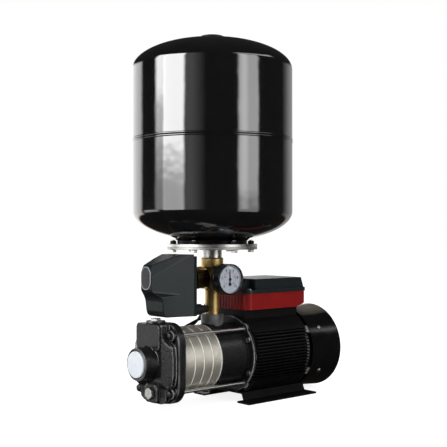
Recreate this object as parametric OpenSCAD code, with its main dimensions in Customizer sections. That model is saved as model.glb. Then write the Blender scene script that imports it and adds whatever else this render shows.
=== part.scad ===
// Automatic water pump: a horizontal multistage pump and motor, with pressure tank, gauge and switch.
// X runs along the shaft with the inlet at -X, the gauge faces -Y, Z is up and the floor is z = 0.
// The origin is the middle of the four foot slots.

/* [Layout] */
// Height of the shaft above the floor
shaft_h = 75; // [75:1:85]
// From the middle of the foot to the pump side of the motor flange
flange_lead = 62; // [60:1:66]
// From the motor flange to the upright outlet axis
outlet_setback = 36; // [34:0.5:39]

/* [Foot] */
// Length of the foot along the shaft
foot_l = 160; // [150:1:180]
// Width of the foot over its flanges
foot_w = 140; // [136:1:160]
// Thickness of the foot's sheet
foot_t = 3; // [2:0.5:4]
// Height of the foot's top above the floor
foot_rise = 15; // [14:0.5:16]
// Width of the foot's flat top
foot_top_w = 80; // [76:1:84]
// Width of the foot between the inner edges of its flanges
foot_bend_w = 90; // [88:1:94]
// From each end of the foot to the middle of its slots
slot_end_in = 17.5; // [10:0.5:24]
// Distance between slots across the shaft
slot_spacing_y = 114; // [112:1:116]
// Width of a slot
slot_w = 9; // [7:0.5:11]
// Length of a slot from end to end
slot_l = 18; // [14:1:22]

/* [Motor] */
// Diameter over the ribs and the fan cover
motor_d = 142; // [138:1:146]
// Diameter of the frame at the foot of the ribs
frame_d = 124; // [120:1:126]
// Bore of the frame, which holds the stator
stator_d = 110; // [106:1:112]
// Length of the ribbed frame
frame_l = 121; // [116:1:124]
// Distance from one rib to the next
rib_pitch = 5.2; // [4.5:0.1:6]
// Thickness of a rib
rib_t = 2; // [1.5:0.1:2.4]
// Thickness of the motor flange's plate
flange_t = 5; // [4:0.5:6]
// Radius of the motor flange
flange_r = 64; // [63:0.5:66]
// Length of the fan cover
fan_cover_l = 74; // [70:1:80]
// Thickness of the fan cover's sheet
fan_cover_t = 1.5; // [1:0.1:2]
// Length of the stator and rotor stack
stack_l = 70; // [50:1:74]
// Outside diameter of the rotor
rotor_d = 60; // [54:1:64]
// Air gap between rotor and stator
air_gap = 0.4; // [0.3:0.05:0.6]

/* [Shaft] */
// Diameter of the shaft at the bearings
journal_d = 17; // [17:0.5:18]
// Diameter of the shaft in the pump
pump_shaft_d = 16; // [14:0.5:16]
// Outside diameter of a bearing
bearing_od = 40; // [39:0.5:42]
// Width of a bearing
bearing_w = 12; // [11:0.5:13]
// Diameter of the fan
fan_d = 106; // [90:1:110]

/* [Pump] */
// Length of one stage chamber
chamber_l = 18.25; // [17.5:0.25:22]
// Outside diameter of a stage chamber
chamber_d = 105; // [102:1:106]
// Wall of a stage chamber
chamber_t = 1.5; // [1:0.1:2]
// Diameter of an impeller
impeller_d = 88; // [76:1:94]
// Length of the discharge part
discharge_l = 60; // [58:1:66]
// Distance of a tie rod from the shaft across the pump
rod_y = 38.5; // [38:0.5:40]
// Distance of a tie rod above or below the shaft
rod_z = 44.5; // [44:0.5:46]
// Diameter of a tie rod
rod_d = 6; // [5:0.5:7]

/* [Inlet part] */
// Length of the inlet part's rim
rim_l = 15; // [14:0.5:18]
// Width of the inlet part
rim_w = 105; // [104:1:110]
// Height of the inlet part's rim above and below the shaft
rim_half_h = 63; // [62:0.5:65]
// From the rim to the front face
nose_l = 18; // [18:0.5:24]
// From the front face to the mouth of the port
port_l = 24.6; // [22:0.2:30]
// Diameter of the port's boss
port_d = 51; // [48:0.5:54]
// Bore of the inlet port, for a G 1 1/4 thread
inlet_bore_d = 39; // [36:0.5:40]
// Diameter of the white port cap
cap_d = 42.6; // [41:0.2:44]

/* [Outlet stack] */
// Diameter of the upright hub on the discharge part
hub_d = 37.4; // [36:0.2:38]
// Height of the hub's top above the shaft
hub_rise = 53.5; // [53.5:0.5:58]
// Height of the outlet adapter
adapter_h = 15.8; // [15:0.1:24]
// Diameter of the outlet adapter
adapter_d = 37.4; // [36:0.2:37.8]
// Height of the brass fitting's body
body_h = 75.5; // [74:0.5:84]
// Diameter of the brass fitting's body
body_d = 26; // [25:0.5:28]
// Height of the brass fitting's collar
collar_h = 17.6; // [16:0.1:22]
// Diameter of the brass fitting's collar
collar_d = 37; // [36:0.5:40]
// Height of the fitting's side ports above its foot
port_rise = 58.7; // [58:0.1:60]
// Bore of the outlet port and the collar, for a G 1 thread
outlet_bore_d = 30.2; // [29:0.1:30.6]
// Length of the nipple that shows
nipple_h = 13.8; // [12:0.2:20]

/* [Tank] */
// Edge of the counter flange beyond the bolt circle
counter_edge = 10.2; // [8:0.2:12.6]
// Thickness of the counter flange
counter_t = 4; // [3:0.5:6]
// Thickness of the clamp ring
clamp_t = 4.8; // [4.6:0.1:7]
// Diameter of the bolt circle
bolt_circle_d = 129; // [128.6:0.2:130]
// Diameter of the tank
tank_d = 266; // [240:1:300]
// Height of the lower dome
lower_dome_h = 51; // [46:1:62]
// Height of the tank's straight wall
tank_wall_h = 234; // [180:1:280]
// Height of the upper dome
upper_dome_h = 50; // [46:1:70]
// Height of the seam above the lower end of the straight wall
seam_h = 116; // [80:1:150]
// Thickness of the tank's sheet
tank_t = 1.6; // [1.2:0.1:2.2]
// Diameter of the cap over the air valve
valve_cap_d = 42; // [38:1:46]

/* [Gauge] */
// Diameter of the gauge's case
gauge_d = 50; // [48:0.5:52]
// Depth of the gauge's case
gauge_depth = 22; // [21:0.5:26]
// From the outlet axis to the front of the gauge
gauge_reach = 53; // [52:0.5:60]
// Angle by which the gauge is turned to the inlet side
gauge_turn = 5; // [0:1:8]

/* [Pressure switch] */
// From the outlet axis to the switch's base
switch_reach = 60; // [59:0.5:66]
// Length of the switch's cover
cover_l = 70; // [69:1:80]
// Width of the cover at its base
cover_w = 66; // [64:1:72]
// Width of the cover at its nose
nose_w = 27; // [24:0.5:32]
// Height of the cover's lower edge above the shaft
cover_low = 71; // [70.5:0.5:73]
// Height of the cover
cover_h = 98; // [96:1:104]
// Wall of the cover
cover_t = 3; // [2:0.5:3.5]
// Travel of the switch's plunger
plunger_travel = 2; // [1:0.5:2.5]

/* [Terminal box] */
// Length of the terminal box
box_l = 143; // [138:1:150]
// Width of the terminal box
box_w = 92; // [86:1:96]
// Height of the box's underside above the shaft
box_rise = 75; // [74:0.5:78]
// Height of the red base
box_base_h = 27; // [25:1:32]
// Height of the lid
lid_h = 24; // [22:1:30]
// Wall of the box and the lid
box_t = 3; // [2:0.5:3.5]

/* [Hidden] */
$fn = 64;
stages = 4;

// Overrun of every cut, gap between seated pieces, running gap of shafts, and gap of free parts
cut = 1;
seat_gap = 0.05;
run_gap = 0.05;
free_gap = 0.4;

// Places along the shaft
flange_x = -flange_lead;
outlet_x = flange_x - outlet_setback;
frame_x0 = flange_x + flange_t;
frame_x1 = frame_x0 + frame_l;
shield_t = 6;
cover_start_gap = 2;
fan_cover_x0 = frame_x1 + shield_t + cover_start_gap;
fan_cover_x1 = fan_cover_x0 + fan_cover_l;
discharge_x0 = flange_x - discharge_l;
stack_x0 = discharge_x0 - stages * chamber_l;
rim_x0 = stack_x0 - rim_l;
face_x = rim_x0 - nose_l;
mouth_x = face_x - port_l;
core_x0 = frame_x0 + (frame_l - stack_l) / 2;
core_x1 = core_x0 + stack_l;

// Bearings
bearing_wall = 4;
front_bearing_x0 = flange_x + bearing_wall;
rear_bearing_x0 = frame_x1 + shield_t - bearing_wall;
bearing_x0s = [front_bearing_x0, rear_bearing_x0];
race_t = 3.4;
ball_r = 3.2;
ball_count = 9;
ball_circle_r = (journal_d + bearing_od) / 4;

// Motor frame
frame_r = frame_d / 2;
motor_r = motor_d / 2;
stator_r = stator_d / 2;
rib_half_count = 7;
shoulder_low = rib_pitch * (rib_half_count + 0.5);
pad_w = 76;
lead_hole_r = 8;
lead_hole_inset = 22;
lead_hole_x = frame_x0 + lead_hole_inset;
box_z = shaft_h + box_rise;

// Stator and rotor
rotor_r = rotor_d / 2;
stator_bore_r = rotor_r + air_gap;
slot_count = 24;
tooth_slot_w = 3;
tooth_slot_depth = 12;
tooth_slot_lip = 1.2;
winding_l = 16;
winding_share_in = 0.12;
winding_share_out = 0.86;
rotor_seat_r = 11;
rotor_seat_over = 10;
end_ring_l = 7;
end_ring_t = 12;

// Motor flange
ear_r = 9;
spigot_in = 4;
rod_reach = norm([rod_y, rod_z]);
rod_thread_l = 10;
flange_screw_angle = 28;
flange_screw_in = 4;
flange_screw_circle_r = frame_r - flange_screw_in;
screw_r = 2.5;
screw_head_af = 8;
screw_head_h = 3.5;
screw_in_l = 8;
slot_spacing_x = foot_l - 2 * slot_end_in;
foot_screw_x_share = 0.28;
foot_screw_y_share = 0.375;

// Rear shield and fan cover
hub_wall = 5;
lug_w = 12;
lug_l = 33;
lug_t = 11;
lug_angle = 32;
cover_screw_inset = 25;
cover_screw_r = 2;
cover_screw_head_r = 4;
cover_screw_head_h = 2.4;
cover_screw_in = 9;
cover_round = 5;
cover_crown = 3;
cover_flare = 2.5;
cover_flare_share = 1.3;
grille_slots = 9;
grille_slot_w = 5;
grille_pitch = 10;
grille_r_share = 0.76;

// Fan
fan_inset = 26;
fan_x0 = fan_cover_x0 + fan_inset;
fan_l = 22;
fan_hub_r = 14;
fan_disc_t = 2;
fan_blades = 8;
fan_blade_t = 2;

// Shaft
journal_r = journal_d / 2;
pump_shaft_r = pump_shaft_d / 2;
shaft_nose_l = 14;
nut_l = 10;
nut_af = 19;

// Impellers and chambers
impeller_r = impeller_d / 2;
eye_r = 18;
neck_t = 3;
neck_l = 3;
shroud_t = 1.5;
blade_l = 5;
blade_t = 2;
blade_count = 6;
blade_lean = 55;
hub_t = 3.5;
chamber_r = chamber_d / 2;
chamber_wall_t = 2;
bead_l = 1.2;
bead_t = 0.7;

// Discharge part
back_wall_t = 12;
seal_bore_r = 14;
seal_seat_t = 5;
seal_pocket = 8;
seal_hole_r = 9.5;
seal_head_r = 13;
seal_head_l = 16;
seal_sleeve_t = 3;
cavity_wall = 6.5;
seam_groove = 0.8;

// Outlet stack
hub_r = hub_d / 2;
hub_bore_r = 16.6;
hub_bore_low = 38;
hub_z = shaft_h + hub_rise;
adapter_z = hub_z + adapter_h;
spigot_l = 12;
seat_r = 9;
seat_t = 6;
valve_seat_z = hub_z - spigot_l + seat_t;
valve_chamber_r = 12.4;
valve_disc_r = 11.4;
valve_disc_t = 3;
guide_t = 2;
guide_l = 8;
fitting_spigot_l = 8;
body_z = adapter_z + body_h;
collar_z = body_z + collar_h;
nipple_z = collar_z + nipple_h;
body_r = body_d / 2;
body_lower_share = 0.92;
body_lower_l = 40;
waterway_r = 8.5;
port_z = adapter_z + port_rise;
outlet_bore_r = outlet_bore_d / 2;
outlet_boss_r = 18.5;
outlet_boss_reach = 34;
outlet_bore_l = 18;
collar_chamfer = 1.5;
nipple_r = 16;
nipple_bore_r = 11;

// Counter flange, clamp ring and tank neck
counter_r = bolt_circle_d / 2 + counter_edge;
counter_z = nipple_z + counter_t;
clamp_z = counter_z + clamp_t;
bolt_count = 6;
bolt_angle = 22.6;
bolt_r = 3;
bolt_hole_r = 3.2;
bolt_af = 10;
bolt_head_h = 4;
bolt_nut_h = 5;
bolt_tip = 1.4;
neck_inset = 6.7;
neck_r = bolt_circle_d / 2 - neck_inset;
neck_wall = 3.6;
neck_bore_r = neck_r - neck_wall;
lip_edge = 2.2;
lip_r = neck_r + lip_edge;
lip_t = 2;
rim_seal_t = 1.4;
neck_flare_w = 4.2;
neck_flare_r = neck_r + neck_flare_w;
neck_flare_l = 3.2;

// Tank
tank_r = tank_d / 2;
tank_lift = 3;
wall_z0 = clamp_z + tank_lift + lower_dome_h;
wall_z1 = wall_z0 + tank_wall_h;
seam_z = wall_z0 + seam_h;
crown_z = wall_z1 + upper_dome_h;
seam_bead_l = 3.5;
seam_bead_t = 0.7;
dome_steps = 14;
bladder_gap = 10;
bladder_t = 2;

// Air valve
valve_hole_r = 6;
valve_flange_r = 9;
valve_flange_t = 1.4;
valve_body_l = 14;
valve_bore_r = 2.6;
valve_pin_r = 1.3;
valve_pin_l = 12;
valve_pin_up = 0.8;
valve_collar_l = 3;
valve_seat_l = 2;
valve_seat_r = 1.6;
valve_cap_r = valve_cap_d / 2;
valve_cap_h = 7.2;
valve_cap_t = 1.6;

// Gauge
gauge_r = gauge_d / 2;
gauge_t = 1.6;
gauge_back = gauge_reach - gauge_depth;
glass_t = 1.6;
glass_lip = 0.8;
lip_w = 2.3;
dial_t = 0.8;
dial_depth = 5.5;
dial_ledge = 3.4;
dial_z = gauge_reach - dial_depth;
pointer_r = 1;
pointer_l = 16.5;
pointer_w = 1.3;
pointer_t = 0.6;
pointer_hub_r = 2.6;
pointer_tail_l = 8;
pointer_tail_r = 2.9;
pointer_lift = 0.6;
stem_r = 5.4;
stem_thread_l = 8;
stem_block = 12;
stem_af = 14;
gauge_branch_r = 9;
gauge_branch_reach = 18;
bourdon_r = 16;
bourdon_t = 2.4;
bourdon_w = 5;
bourdon_gap_w = 14;

// Pressure switch
base_x = outlet_x - switch_reach;
base_t = 6;
cover_x = base_x - base_t;
cover_nose_x = cover_x - cover_l;
cover_z0 = shaft_h + cover_low;
switch_branch_r = 9;
switch_branch_reach = 17;
switch_nut_r = 16.5;
switch_nut_l = 25;
switch_nut_hex_share = 0.55;
stub_share = 0.4;
switch_boss_r = 12;
housing_r = 14;
housing_l = 12;
plunger_r = 3;
plunger_out = 6;
lever_t = 3;
lever_w = 10;
lever_low = 8;
lever_arm = 16;
lever_pin_r = 1.5;
lever_pin_back = 2;
cheek_t = 3;
cheek_gap = 1;
cheek_low = 8;
bracket_l = 38;
bracket_t = 3;
spring_t = 1.5;
spring_r = 6.5;
block_l = 10;
block_w = 28;
block_h = 26;
block_foot = 6;

// Cable glands and the switch's lead
gland_r = 9;
gland_tip_r = 6;
gland_nut_share = 0.6;
gland_l = 35;
gland_y = 15;
gland_rise = 8.5;
gland_z = cover_z0 + gland_rise;
lead_r = 2.5;
lead_sides = 8;
lead_steps = 2;
lead_unit = 10;
box_gland_x_share = 0.112;
box_gland_l = 16;
box_gland_drop = 13;

// Terminal box
box_over = 4;
box_x0 = frame_x0 - box_over;
box_x1 = box_x0 + box_l;
box_half = box_w / 2;
box_round = 12;
box_top = box_z + box_base_h;
lid_lip_h = 6;
lid_over = 1.5;
lid_top = box_top + lid_h;
lid_top_back = 6;
lid_end_slope = 9;
notch_l = 20;
notch_w = 15;
lid_screw_r = 2;
lid_screw_head_r = 4;
lid_screw_head_h = 3;
lid_screw_in = 12;
lid_screw_inset_x = 12;
lid_screw_inset_y = 8;
post_r = 6;
tail_cut_l = 26;
tail_cut_h = 8;

// Inlet part
cavity_r = 45;
cavity_l = 18;
rib_rise = 3.5;
rib_plate_t = 2;
rib_gap = 3.5;
rim_round = 32;
pad_t = 3;
pad_low = 22.5;
pad_high = 61;
pad_half_w = 30;
pad_round = 6;
port_r = port_d / 2;
inlet_bore_r = inlet_bore_d / 2;
mouth_depth = 2;
cap_r = cap_d / 2;
cap_t = 5;
head_seat_l = 6;
head_boss_r = 8.5;
rod_head_af = 10;
rod_head_h = 5;
prime_boss_r = 15;
prime_boss_rise = 66;
prime_in = 5;
prime_x = rim_x0 - prime_in;
prime_hole_r = 6.6;
prime_af = 15;
prime_head_h = 3.2;
prime_l = 16;
drain_boss_half = 16;
drain_low = 47.5;
drain_back = 3;
drain_x = face_x + drain_back;
drain_peak = 28;
drain_shoulder = 38;
drain_foot = 62;
drain_corner = 5;
drain_hole_r = 6.6;
drain_af = 17;
drain_head_h = 4.5;
drain_l = 13;

// Colours
black_paint = [0.06, 0.06, 0.065];
dark_plastic = [0.13, 0.15, 0.15];
cast_black = [0.1, 0.1, 0.105];
steel = [0.72, 0.71, 0.68];
zinc = [0.78, 0.78, 0.78];
brass = [0.72, 0.56, 0.27];
red_plastic = [0.55, 0.05, 0.06];

// A bar along the shaft's axis from x0 to x1
module shaft_bar(r, x0, x1) {
  translate([x0, 0, shaft_h]) rotate([0, 90, 0]) cylinder(r = r, h = x1 - x0);
}

// A solid of revolution about the shaft from points [radius, x]
module turned(points) {
  translate([0, 0, shaft_h]) rotate([0, 90, 0]) rotate_extrude() polygon(points);
}

// A solid of revolution about the outlet axis from points [radius, z]
module upright(points) {
  translate([outlet_x, 0, 0]) rotate_extrude() polygon(points);
}

// An outline in Y and Z about the shaft, extruded from x0 to x1
module along_x(x0, x1) {
  translate([x0, 0, shaft_h]) rotate([90, 0, 90]) linear_extrude(x1 - x0) children();
}

// A rounded rectangle about its centre
module round_rect(w, h, r) {
  square([w - 2 * r, h], center = true);
  square([w, h - 2 * r], center = true);
  for (sx = [-1, 1], sy = [-1, 1]) translate([sx * (w / 2 - r), sy * (h / 2 - r)]) circle(r);
}

// A hexagonal bar standing on z = 0, by its width across flats
module hex_bar(af, h) {
  cylinder(r = af / sqrt(3), h = h, $fn = 6);
}

// Places of the four tie rods
module at_rods(x) {
  for (sy = [-1, 1], sz = [-1, 1]) translate([x, sy * rod_y, shaft_h + sz * rod_z])
    rotate([0, 90, 0]) children();
}

// Points of a quarter ellipse from the side at height z0 to the crown
function dome(r, h, z0, from, to) = [
  for (i = [0 : dome_steps])
    let (a = from + (to - from) * i / dome_steps) [r * cos(a), z0 + h * sin(a)]];

// Foot: bent sheet with two slotted flanges and sloped webs under the motor
module base_plate() {
  half = foot_w / 2;
  bend = foot_bend_w / 2;
  top = foot_top_w / 2;
  web_end_in = 3;
  web_start_in = 14;
  color(black_paint) difference() {
    translate([-foot_l / 2, 0, 0]) rotate([90, 0, 90]) linear_extrude(foot_l) polygon([
      [-half, 0], [-bend + foot_t, 0], [-top + foot_t, foot_rise - foot_t],
      [top - foot_t, foot_rise - foot_t], [bend - foot_t, 0], [half, 0], [half, foot_t],
      [bend, foot_t], [top, foot_rise], [-top, foot_rise], [-bend, foot_t], [-half, foot_t]]);
    for (sx = [-1, 1], sy = [-1, 1]) translate([sx * slot_spacing_x / 2, sy * slot_spacing_y / 2, -cut]) {
      for (ex = [-1, 1]) translate([ex * (slot_l - slot_w) / 2, 0, 0])
        cylinder(r = slot_w / 2, h = foot_t + 2 * cut);
      translate([-(slot_l - slot_w) / 2, -slot_w / 2, 0]) cube([slot_l - slot_w, slot_w, foot_t + 2 * cut]);
    }
    for (w = [[-foot_l / 2 - cut, web_start_in + cut], [foot_l / 2 - web_end_in, web_end_in + cut]]) {
      translate([w[0], -bend, foot_t]) cube([w[1], 2 * bend, foot_rise]);
      translate([w[0], foot_t - bend, -cut]) cube([w[1], 2 * (bend - foot_t), foot_rise]);
    }
    for (p = foot_screw_places) translate([p[0], p[1], 0])
      cylinder(r = screw_r + seat_gap, h = foot_rise + cut);
    shaft_bar(motor_r + free_gap, frame_x1, foot_l / 2 + cut);
  }
}

foot_screw_places = [for (sx = [-1, 1], sy = [-1, 1])
  [sx * foot_screw_x_share * foot_l, sy * foot_screw_y_share * foot_top_w]];
flange_screw_angles = [flange_screw_angle, 180 - flange_screw_angle,
  180 + flange_screw_angle, -flange_screw_angle];

// A hexagon screw along +Z: its head ends at z = 0
module frame_screw(l) {
  translate([0, 0, -screw_head_h]) hex_bar(screw_head_af, screw_head_h);
  cylinder(r = screw_r, h = l);
}

// Screws that hold the motor frame to its foot and to its flange
module frame_bolts() {
  color(zinc) {
    for (p = foot_screw_places) translate([p[0], p[1], foot_rise - foot_t]) frame_screw(foot_t + screw_in_l);
    for (a = flange_screw_angles) translate([flange_x, 0, shaft_h]) rotate([a, 0, 0])
      translate([0, flange_screw_circle_r, 0]) rotate([0, 90, 0]) frame_screw(flange_t + screw_in_l);
  }
}

// Outline of the motor frame with its level ribs
module frame_outline() {
  circle(frame_r);
  for (i = [-rib_half_count : rib_half_count]) intersection() {
    circle(motor_r);
    translate([-motor_r, i * rib_pitch - rib_t / 2]) square([2 * motor_r, rib_t]);
  }
  for (s = [0, 1]) mirror([0, s]) intersection() {
    circle(motor_r);
    translate([-motor_r, shoulder_low]) square([2 * motor_r, motor_r]);
  }
  translate([-pad_w / 2, 0]) square([pad_w, box_rise]);
}

// Motor frame: ribbed tube with a pad for the terminal box
module motor_housing() {
  color(black_paint) difference() {
    along_x(frame_x0, frame_x1) frame_outline();
    shaft_bar(stator_r, frame_x0 - cut, frame_x1 + cut);
    translate([frame_x0 - cut, -motor_r, foot_rise - motor_r])
      cube([frame_l + 2 * cut, 2 * motor_r, motor_r]);
    translate([lead_hole_x, 0, shaft_h]) cylinder(r = lead_hole_r, h = box_rise + cut);
    for (p = foot_screw_places) translate([p[0], p[1], foot_rise - cut])
      cylinder(r = screw_r + seat_gap, h = screw_in_l + 2 * cut);
    for (a = flange_screw_angles) translate([frame_x0 - cut, 0, shaft_h]) rotate([a, 0, 0])
      translate([0, flange_screw_circle_r, 0]) rotate([0, 90, 0])
        cylinder(r = screw_r + seat_gap, h = screw_in_l + 2 * cut);
    at_rods(frame_x0 - cut) cylinder(r = rod_d / 2 + seat_gap, h = rod_thread_l + 2 * cut);
  }
}

// Stator stack with its slots
module stator_core() {
  color(steel) difference() {
    shaft_bar(stator_r - seat_gap, core_x0, core_x1);
    shaft_bar(stator_bore_r, core_x0 - cut, core_x1 + cut);
    for (i = [0 : slot_count - 1]) translate([core_x0 - cut, 0, shaft_h]) rotate([i * 360 / slot_count, 0, 0])
      translate([0, stator_bore_r + tooth_slot_lip, -tooth_slot_w / 2])
        cube([stack_l + 2 * cut, tooth_slot_depth, tooth_slot_w]);
  }
}

// End turns of the winding, one ring at each end of the stack
module stator_windings() {
  r0 = stator_bore_r + winding_share_in * (stator_r - stator_bore_r);
  r1 = stator_bore_r + winding_share_out * (stator_r - stator_bore_r);
  inset = winding_l / 5;
  color([0.62, 0.3, 0.12]) for (s = [0, 1]) {
    x0 = s == 0 ? core_x0 - winding_l : core_x1;
    turned([[r0, x0 + (1 - s) * inset], [r0 + inset, x0], [r1 - inset, x0],
      [r1, x0 + (1 - s) * inset], [r1, x0 + winding_l - s * inset], [r1 - inset, x0 + winding_l],
      [r0 + inset, x0 + winding_l], [r0, x0 + winding_l - s * inset]]);
  }
}

// Motor flange with ears for the tie rods and a spigot and bearing hub inside the frame
module motor_flange() {
  hub_x1 = front_bearing_x0 + bearing_w + hub_wall / 2;
  color(cast_black) difference() {
    union() {
      along_x(flange_x, frame_x0) {
        circle(flange_r);
        for (sy = [-1, 1], sz = [-1, 1]) {
          translate([sy * rod_y, sz * rod_z]) circle(ear_r);
          rotate(atan2(sz * rod_z, sy * rod_y)) translate([0, -ear_r]) square([rod_reach, 2 * ear_r]);
        }
      }
      shaft_bar(stator_r - seat_gap, frame_x0 - cut, frame_x0 + spigot_in);
      shaft_bar(bearing_od / 2 + hub_wall, frame_x0, hub_x1);
    }
    shaft_bar(bearing_od / 2 + seat_gap, front_bearing_x0, hub_x1 + cut);
    translate([flange_x - cut, -motor_r, foot_rise - motor_r])
      cube([frame_x0 - flange_x + 2 * cut, 2 * motor_r, motor_r]);
    shaft_bar(journal_r + free_gap, flange_x - cut, frame_x0);
    at_rods(flange_x - cut) cylinder(r = rod_d / 2 + seat_gap, h = flange_t + 2 * cut);
    for (a = flange_screw_angles) translate([flange_x - cut, 0, shaft_h]) rotate([a, 0, 0])
      translate([0, flange_screw_circle_r, 0]) rotate([0, 90, 0])
        cylinder(r = screw_r + seat_gap, h = flange_t + 2 * cut);
  }
}

// Rear shield with the rear bearing's seat and four lugs for the fan cover
module rear_shield() {
  lug_r = motor_r - fan_cover_t - seat_gap;
  color(cast_black) difference() {
    union() {
      shaft_bar(frame_r + rib_t, frame_x1, frame_x1 + shield_t);
      shaft_bar(bearing_od / 2 + hub_wall, frame_x1, rear_bearing_x0 + bearing_w + hub_wall / 2);
      intersection() {
        shaft_bar(lug_r, frame_x1, frame_x1 + shield_t + lug_l);
        for (a = lug_angles) translate([frame_x1, 0, shaft_h]) rotate([a, 0, 0])
          translate([0, lug_r - lug_t, -lug_w / 2]) cube([shield_t + lug_l, lug_t + cut, lug_w]);
      }
    }
    shaft_bar(bearing_od / 2 + seat_gap, rear_bearing_x0, rear_bearing_x0 + bearing_w);
    shaft_bar(journal_r + free_gap, frame_x1 - cut, fan_cover_x1);
    shaft_bar(bearing_od / 2 - race_t, frame_x1 - cut, rear_bearing_x0);
    for (a = lug_angles) translate([fan_cover_x0 + cover_screw_inset, 0, shaft_h]) rotate([a, 0, 0])
      translate([0, lug_r - cover_screw_in, 0]) rotate([-90, 0, 0])
        cylinder(r = cover_screw_r + seat_gap, h = cover_screw_in + cut);
  }
}

lug_angles = [lug_angle, 180 - lug_angle, 180 + lug_angle, -lug_angle];

// Points of the fan cover's outside, moved in by the given amount
function cover_points(in) = concat(
  [[0, fan_cover_x0 - cut], [motor_r - in, fan_cover_x0 - cut],
    [motor_r - in, fan_cover_x0 + cover_flare_share * cover_screw_inset]],
  [for (i = [0 : dome_steps / 2]) let (a = i * 180 / dome_steps)
    [motor_r + cover_flare - in - (cover_round - in) * (1 - cos(a)),
     fan_cover_x1 - cover_crown - cover_round + (cover_round - in) * sin(a)]],
  [[0, fan_cover_x1 - in]]);

// Fan cover with a slotted end
module fan_cover() {
  grille_r = grille_r_share * motor_r;
  color(black_paint) difference() {
    intersection() {
      turned(cover_points(0));
      shaft_bar(motor_r + cover_flare + cut, fan_cover_x0, fan_cover_x1 + cut);
    }
    turned(cover_points(fan_cover_t));
    for (i = [-(grille_slots - 1) / 2 : (grille_slots - 1) / 2]) {
      half = sqrt(pow(grille_r, 2) - pow(i * grille_pitch, 2));
      translate([fan_cover_x1 - cover_round, -half, shaft_h + i * grille_pitch - grille_slot_w / 2])
        cube([cover_round + cut, 2 * half, grille_slot_w]);
    }
    for (a = lug_angles) translate([fan_cover_x0 + cover_screw_inset, 0, shaft_h]) rotate([a, 0, 0])
      translate([0, motor_r - fan_cover_t - cut, 0]) rotate([-90, 0, 0])
        cylinder(r = cover_screw_r + seat_gap, h = fan_cover_t + 2 * cut);
  }
}

// Four round-headed screws of the fan cover
module fan_cover_screws() {
  color(zinc) for (a = lug_angles) translate([fan_cover_x0 + cover_screw_inset, 0, shaft_h]) rotate([a, 0, 0])
    translate([0, motor_r, 0]) rotate([-90, 0, 0]) {
      cylinder(r1 = cover_screw_head_r, r2 = cover_screw_head_r / 2, h = cover_screw_head_h);
      translate([0, 0, -cover_screw_in]) cylinder(r = cover_screw_r, h = cover_screw_in);
    }
}

// The groove in which the balls of the bearing at x0 run
module ball_groove(x0, gap) {
  translate([x0 + bearing_w / 2, 0, shaft_h]) rotate([0, 90, 0]) rotate_extrude()
    translate([ball_circle_r, 0]) circle(ball_r + gap);
}

// Outer races of both bearings
module bearing_outer_races() {
  color(steel) for (x0 = bearing_x0s) difference() {
    shaft_bar(bearing_od / 2, x0, x0 + bearing_w);
    shaft_bar(bearing_od / 2 - race_t, x0 - cut, x0 + bearing_w + cut);
    ball_groove(x0, run_gap);
  }
}

// Inner races of both bearings, each with its balls
module bearing_inner_sets() {
  color(steel) for (x0 = bearing_x0s) {
    difference() {
      shaft_bar(journal_r + race_t, x0, x0 + bearing_w);
      shaft_bar(journal_r + seat_gap, x0 - cut, x0 + bearing_w + cut);
      ball_groove(x0, seat_gap);
    }
    for (i = [0 : ball_count - 1]) translate([x0 + bearing_w / 2, 0, shaft_h])
      rotate([i * 360 / ball_count, 0, 0]) translate([0, ball_circle_r, 0]) sphere(ball_r);
  }
}

// Stepped shaft, with the nut that holds the impellers
module motor_shaft() {
  hub_x = stack_x0 + neck_l + shroud_t;
  color(steel) {
    shaft_bar(pump_shaft_r, hub_x - shaft_nose_l, front_bearing_x0);
    shaft_bar(journal_r, front_bearing_x0, core_x0 - rotor_seat_over);
    shaft_bar(rotor_seat_r, core_x0 - rotor_seat_over, core_x1 + rotor_seat_over);
    shaft_bar(journal_r, core_x1 + rotor_seat_over, rear_bearing_x0 + bearing_w);
    shaft_bar(pump_shaft_r, rear_bearing_x0 + bearing_w, fan_x0 + fan_l);
  }
  color(zinc) difference() {
    translate([hub_x - nut_l, 0, shaft_h]) rotate([0, 90, 0]) hex_bar(nut_af, nut_l);
    shaft_bar(pump_shaft_r + seat_gap, hub_x - nut_l - cut, hub_x + cut);
  }
}

// Rotor stack with its end rings
module rotor_core() {
  color([0.6, 0.6, 0.62]) turned([
    [rotor_seat_r + seat_gap, core_x0], [rotor_r - end_ring_t, core_x0],
    [rotor_r - end_ring_t, core_x0 - end_ring_l], [rotor_r - rib_t, core_x0 - end_ring_l],
    [rotor_r - rib_t, core_x0], [rotor_r, core_x0], [rotor_r, core_x1], [rotor_r - rib_t, core_x1],
    [rotor_r - rib_t, core_x1 + end_ring_l], [rotor_r - end_ring_t, core_x1 + end_ring_l],
    [rotor_r - end_ring_t, core_x1], [rotor_seat_r + seat_gap, core_x1]]);
}

// Fan with radial blades
module cooling_fan() {
  color(dark_plastic) difference() {
    union() {
      shaft_bar(fan_hub_r, fan_x0, fan_x0 + fan_l);
      shaft_bar(fan_d / 2, fan_x0, fan_x0 + fan_disc_t);
      for (i = [0 : fan_blades - 1]) translate([fan_x0, 0, shaft_h]) rotate([i * 360 / fan_blades, 0, 0])
        translate([0, fan_hub_r - fan_blade_t, -fan_blade_t / 2])
          cube([fan_l, fan_d / 2 - fan_hub_r, fan_blade_t]);
    }
    shaft_bar(pump_shaft_r + seat_gap, fan_x0 - cut, fan_x0 + fan_l + cut);
  }
}

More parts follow.
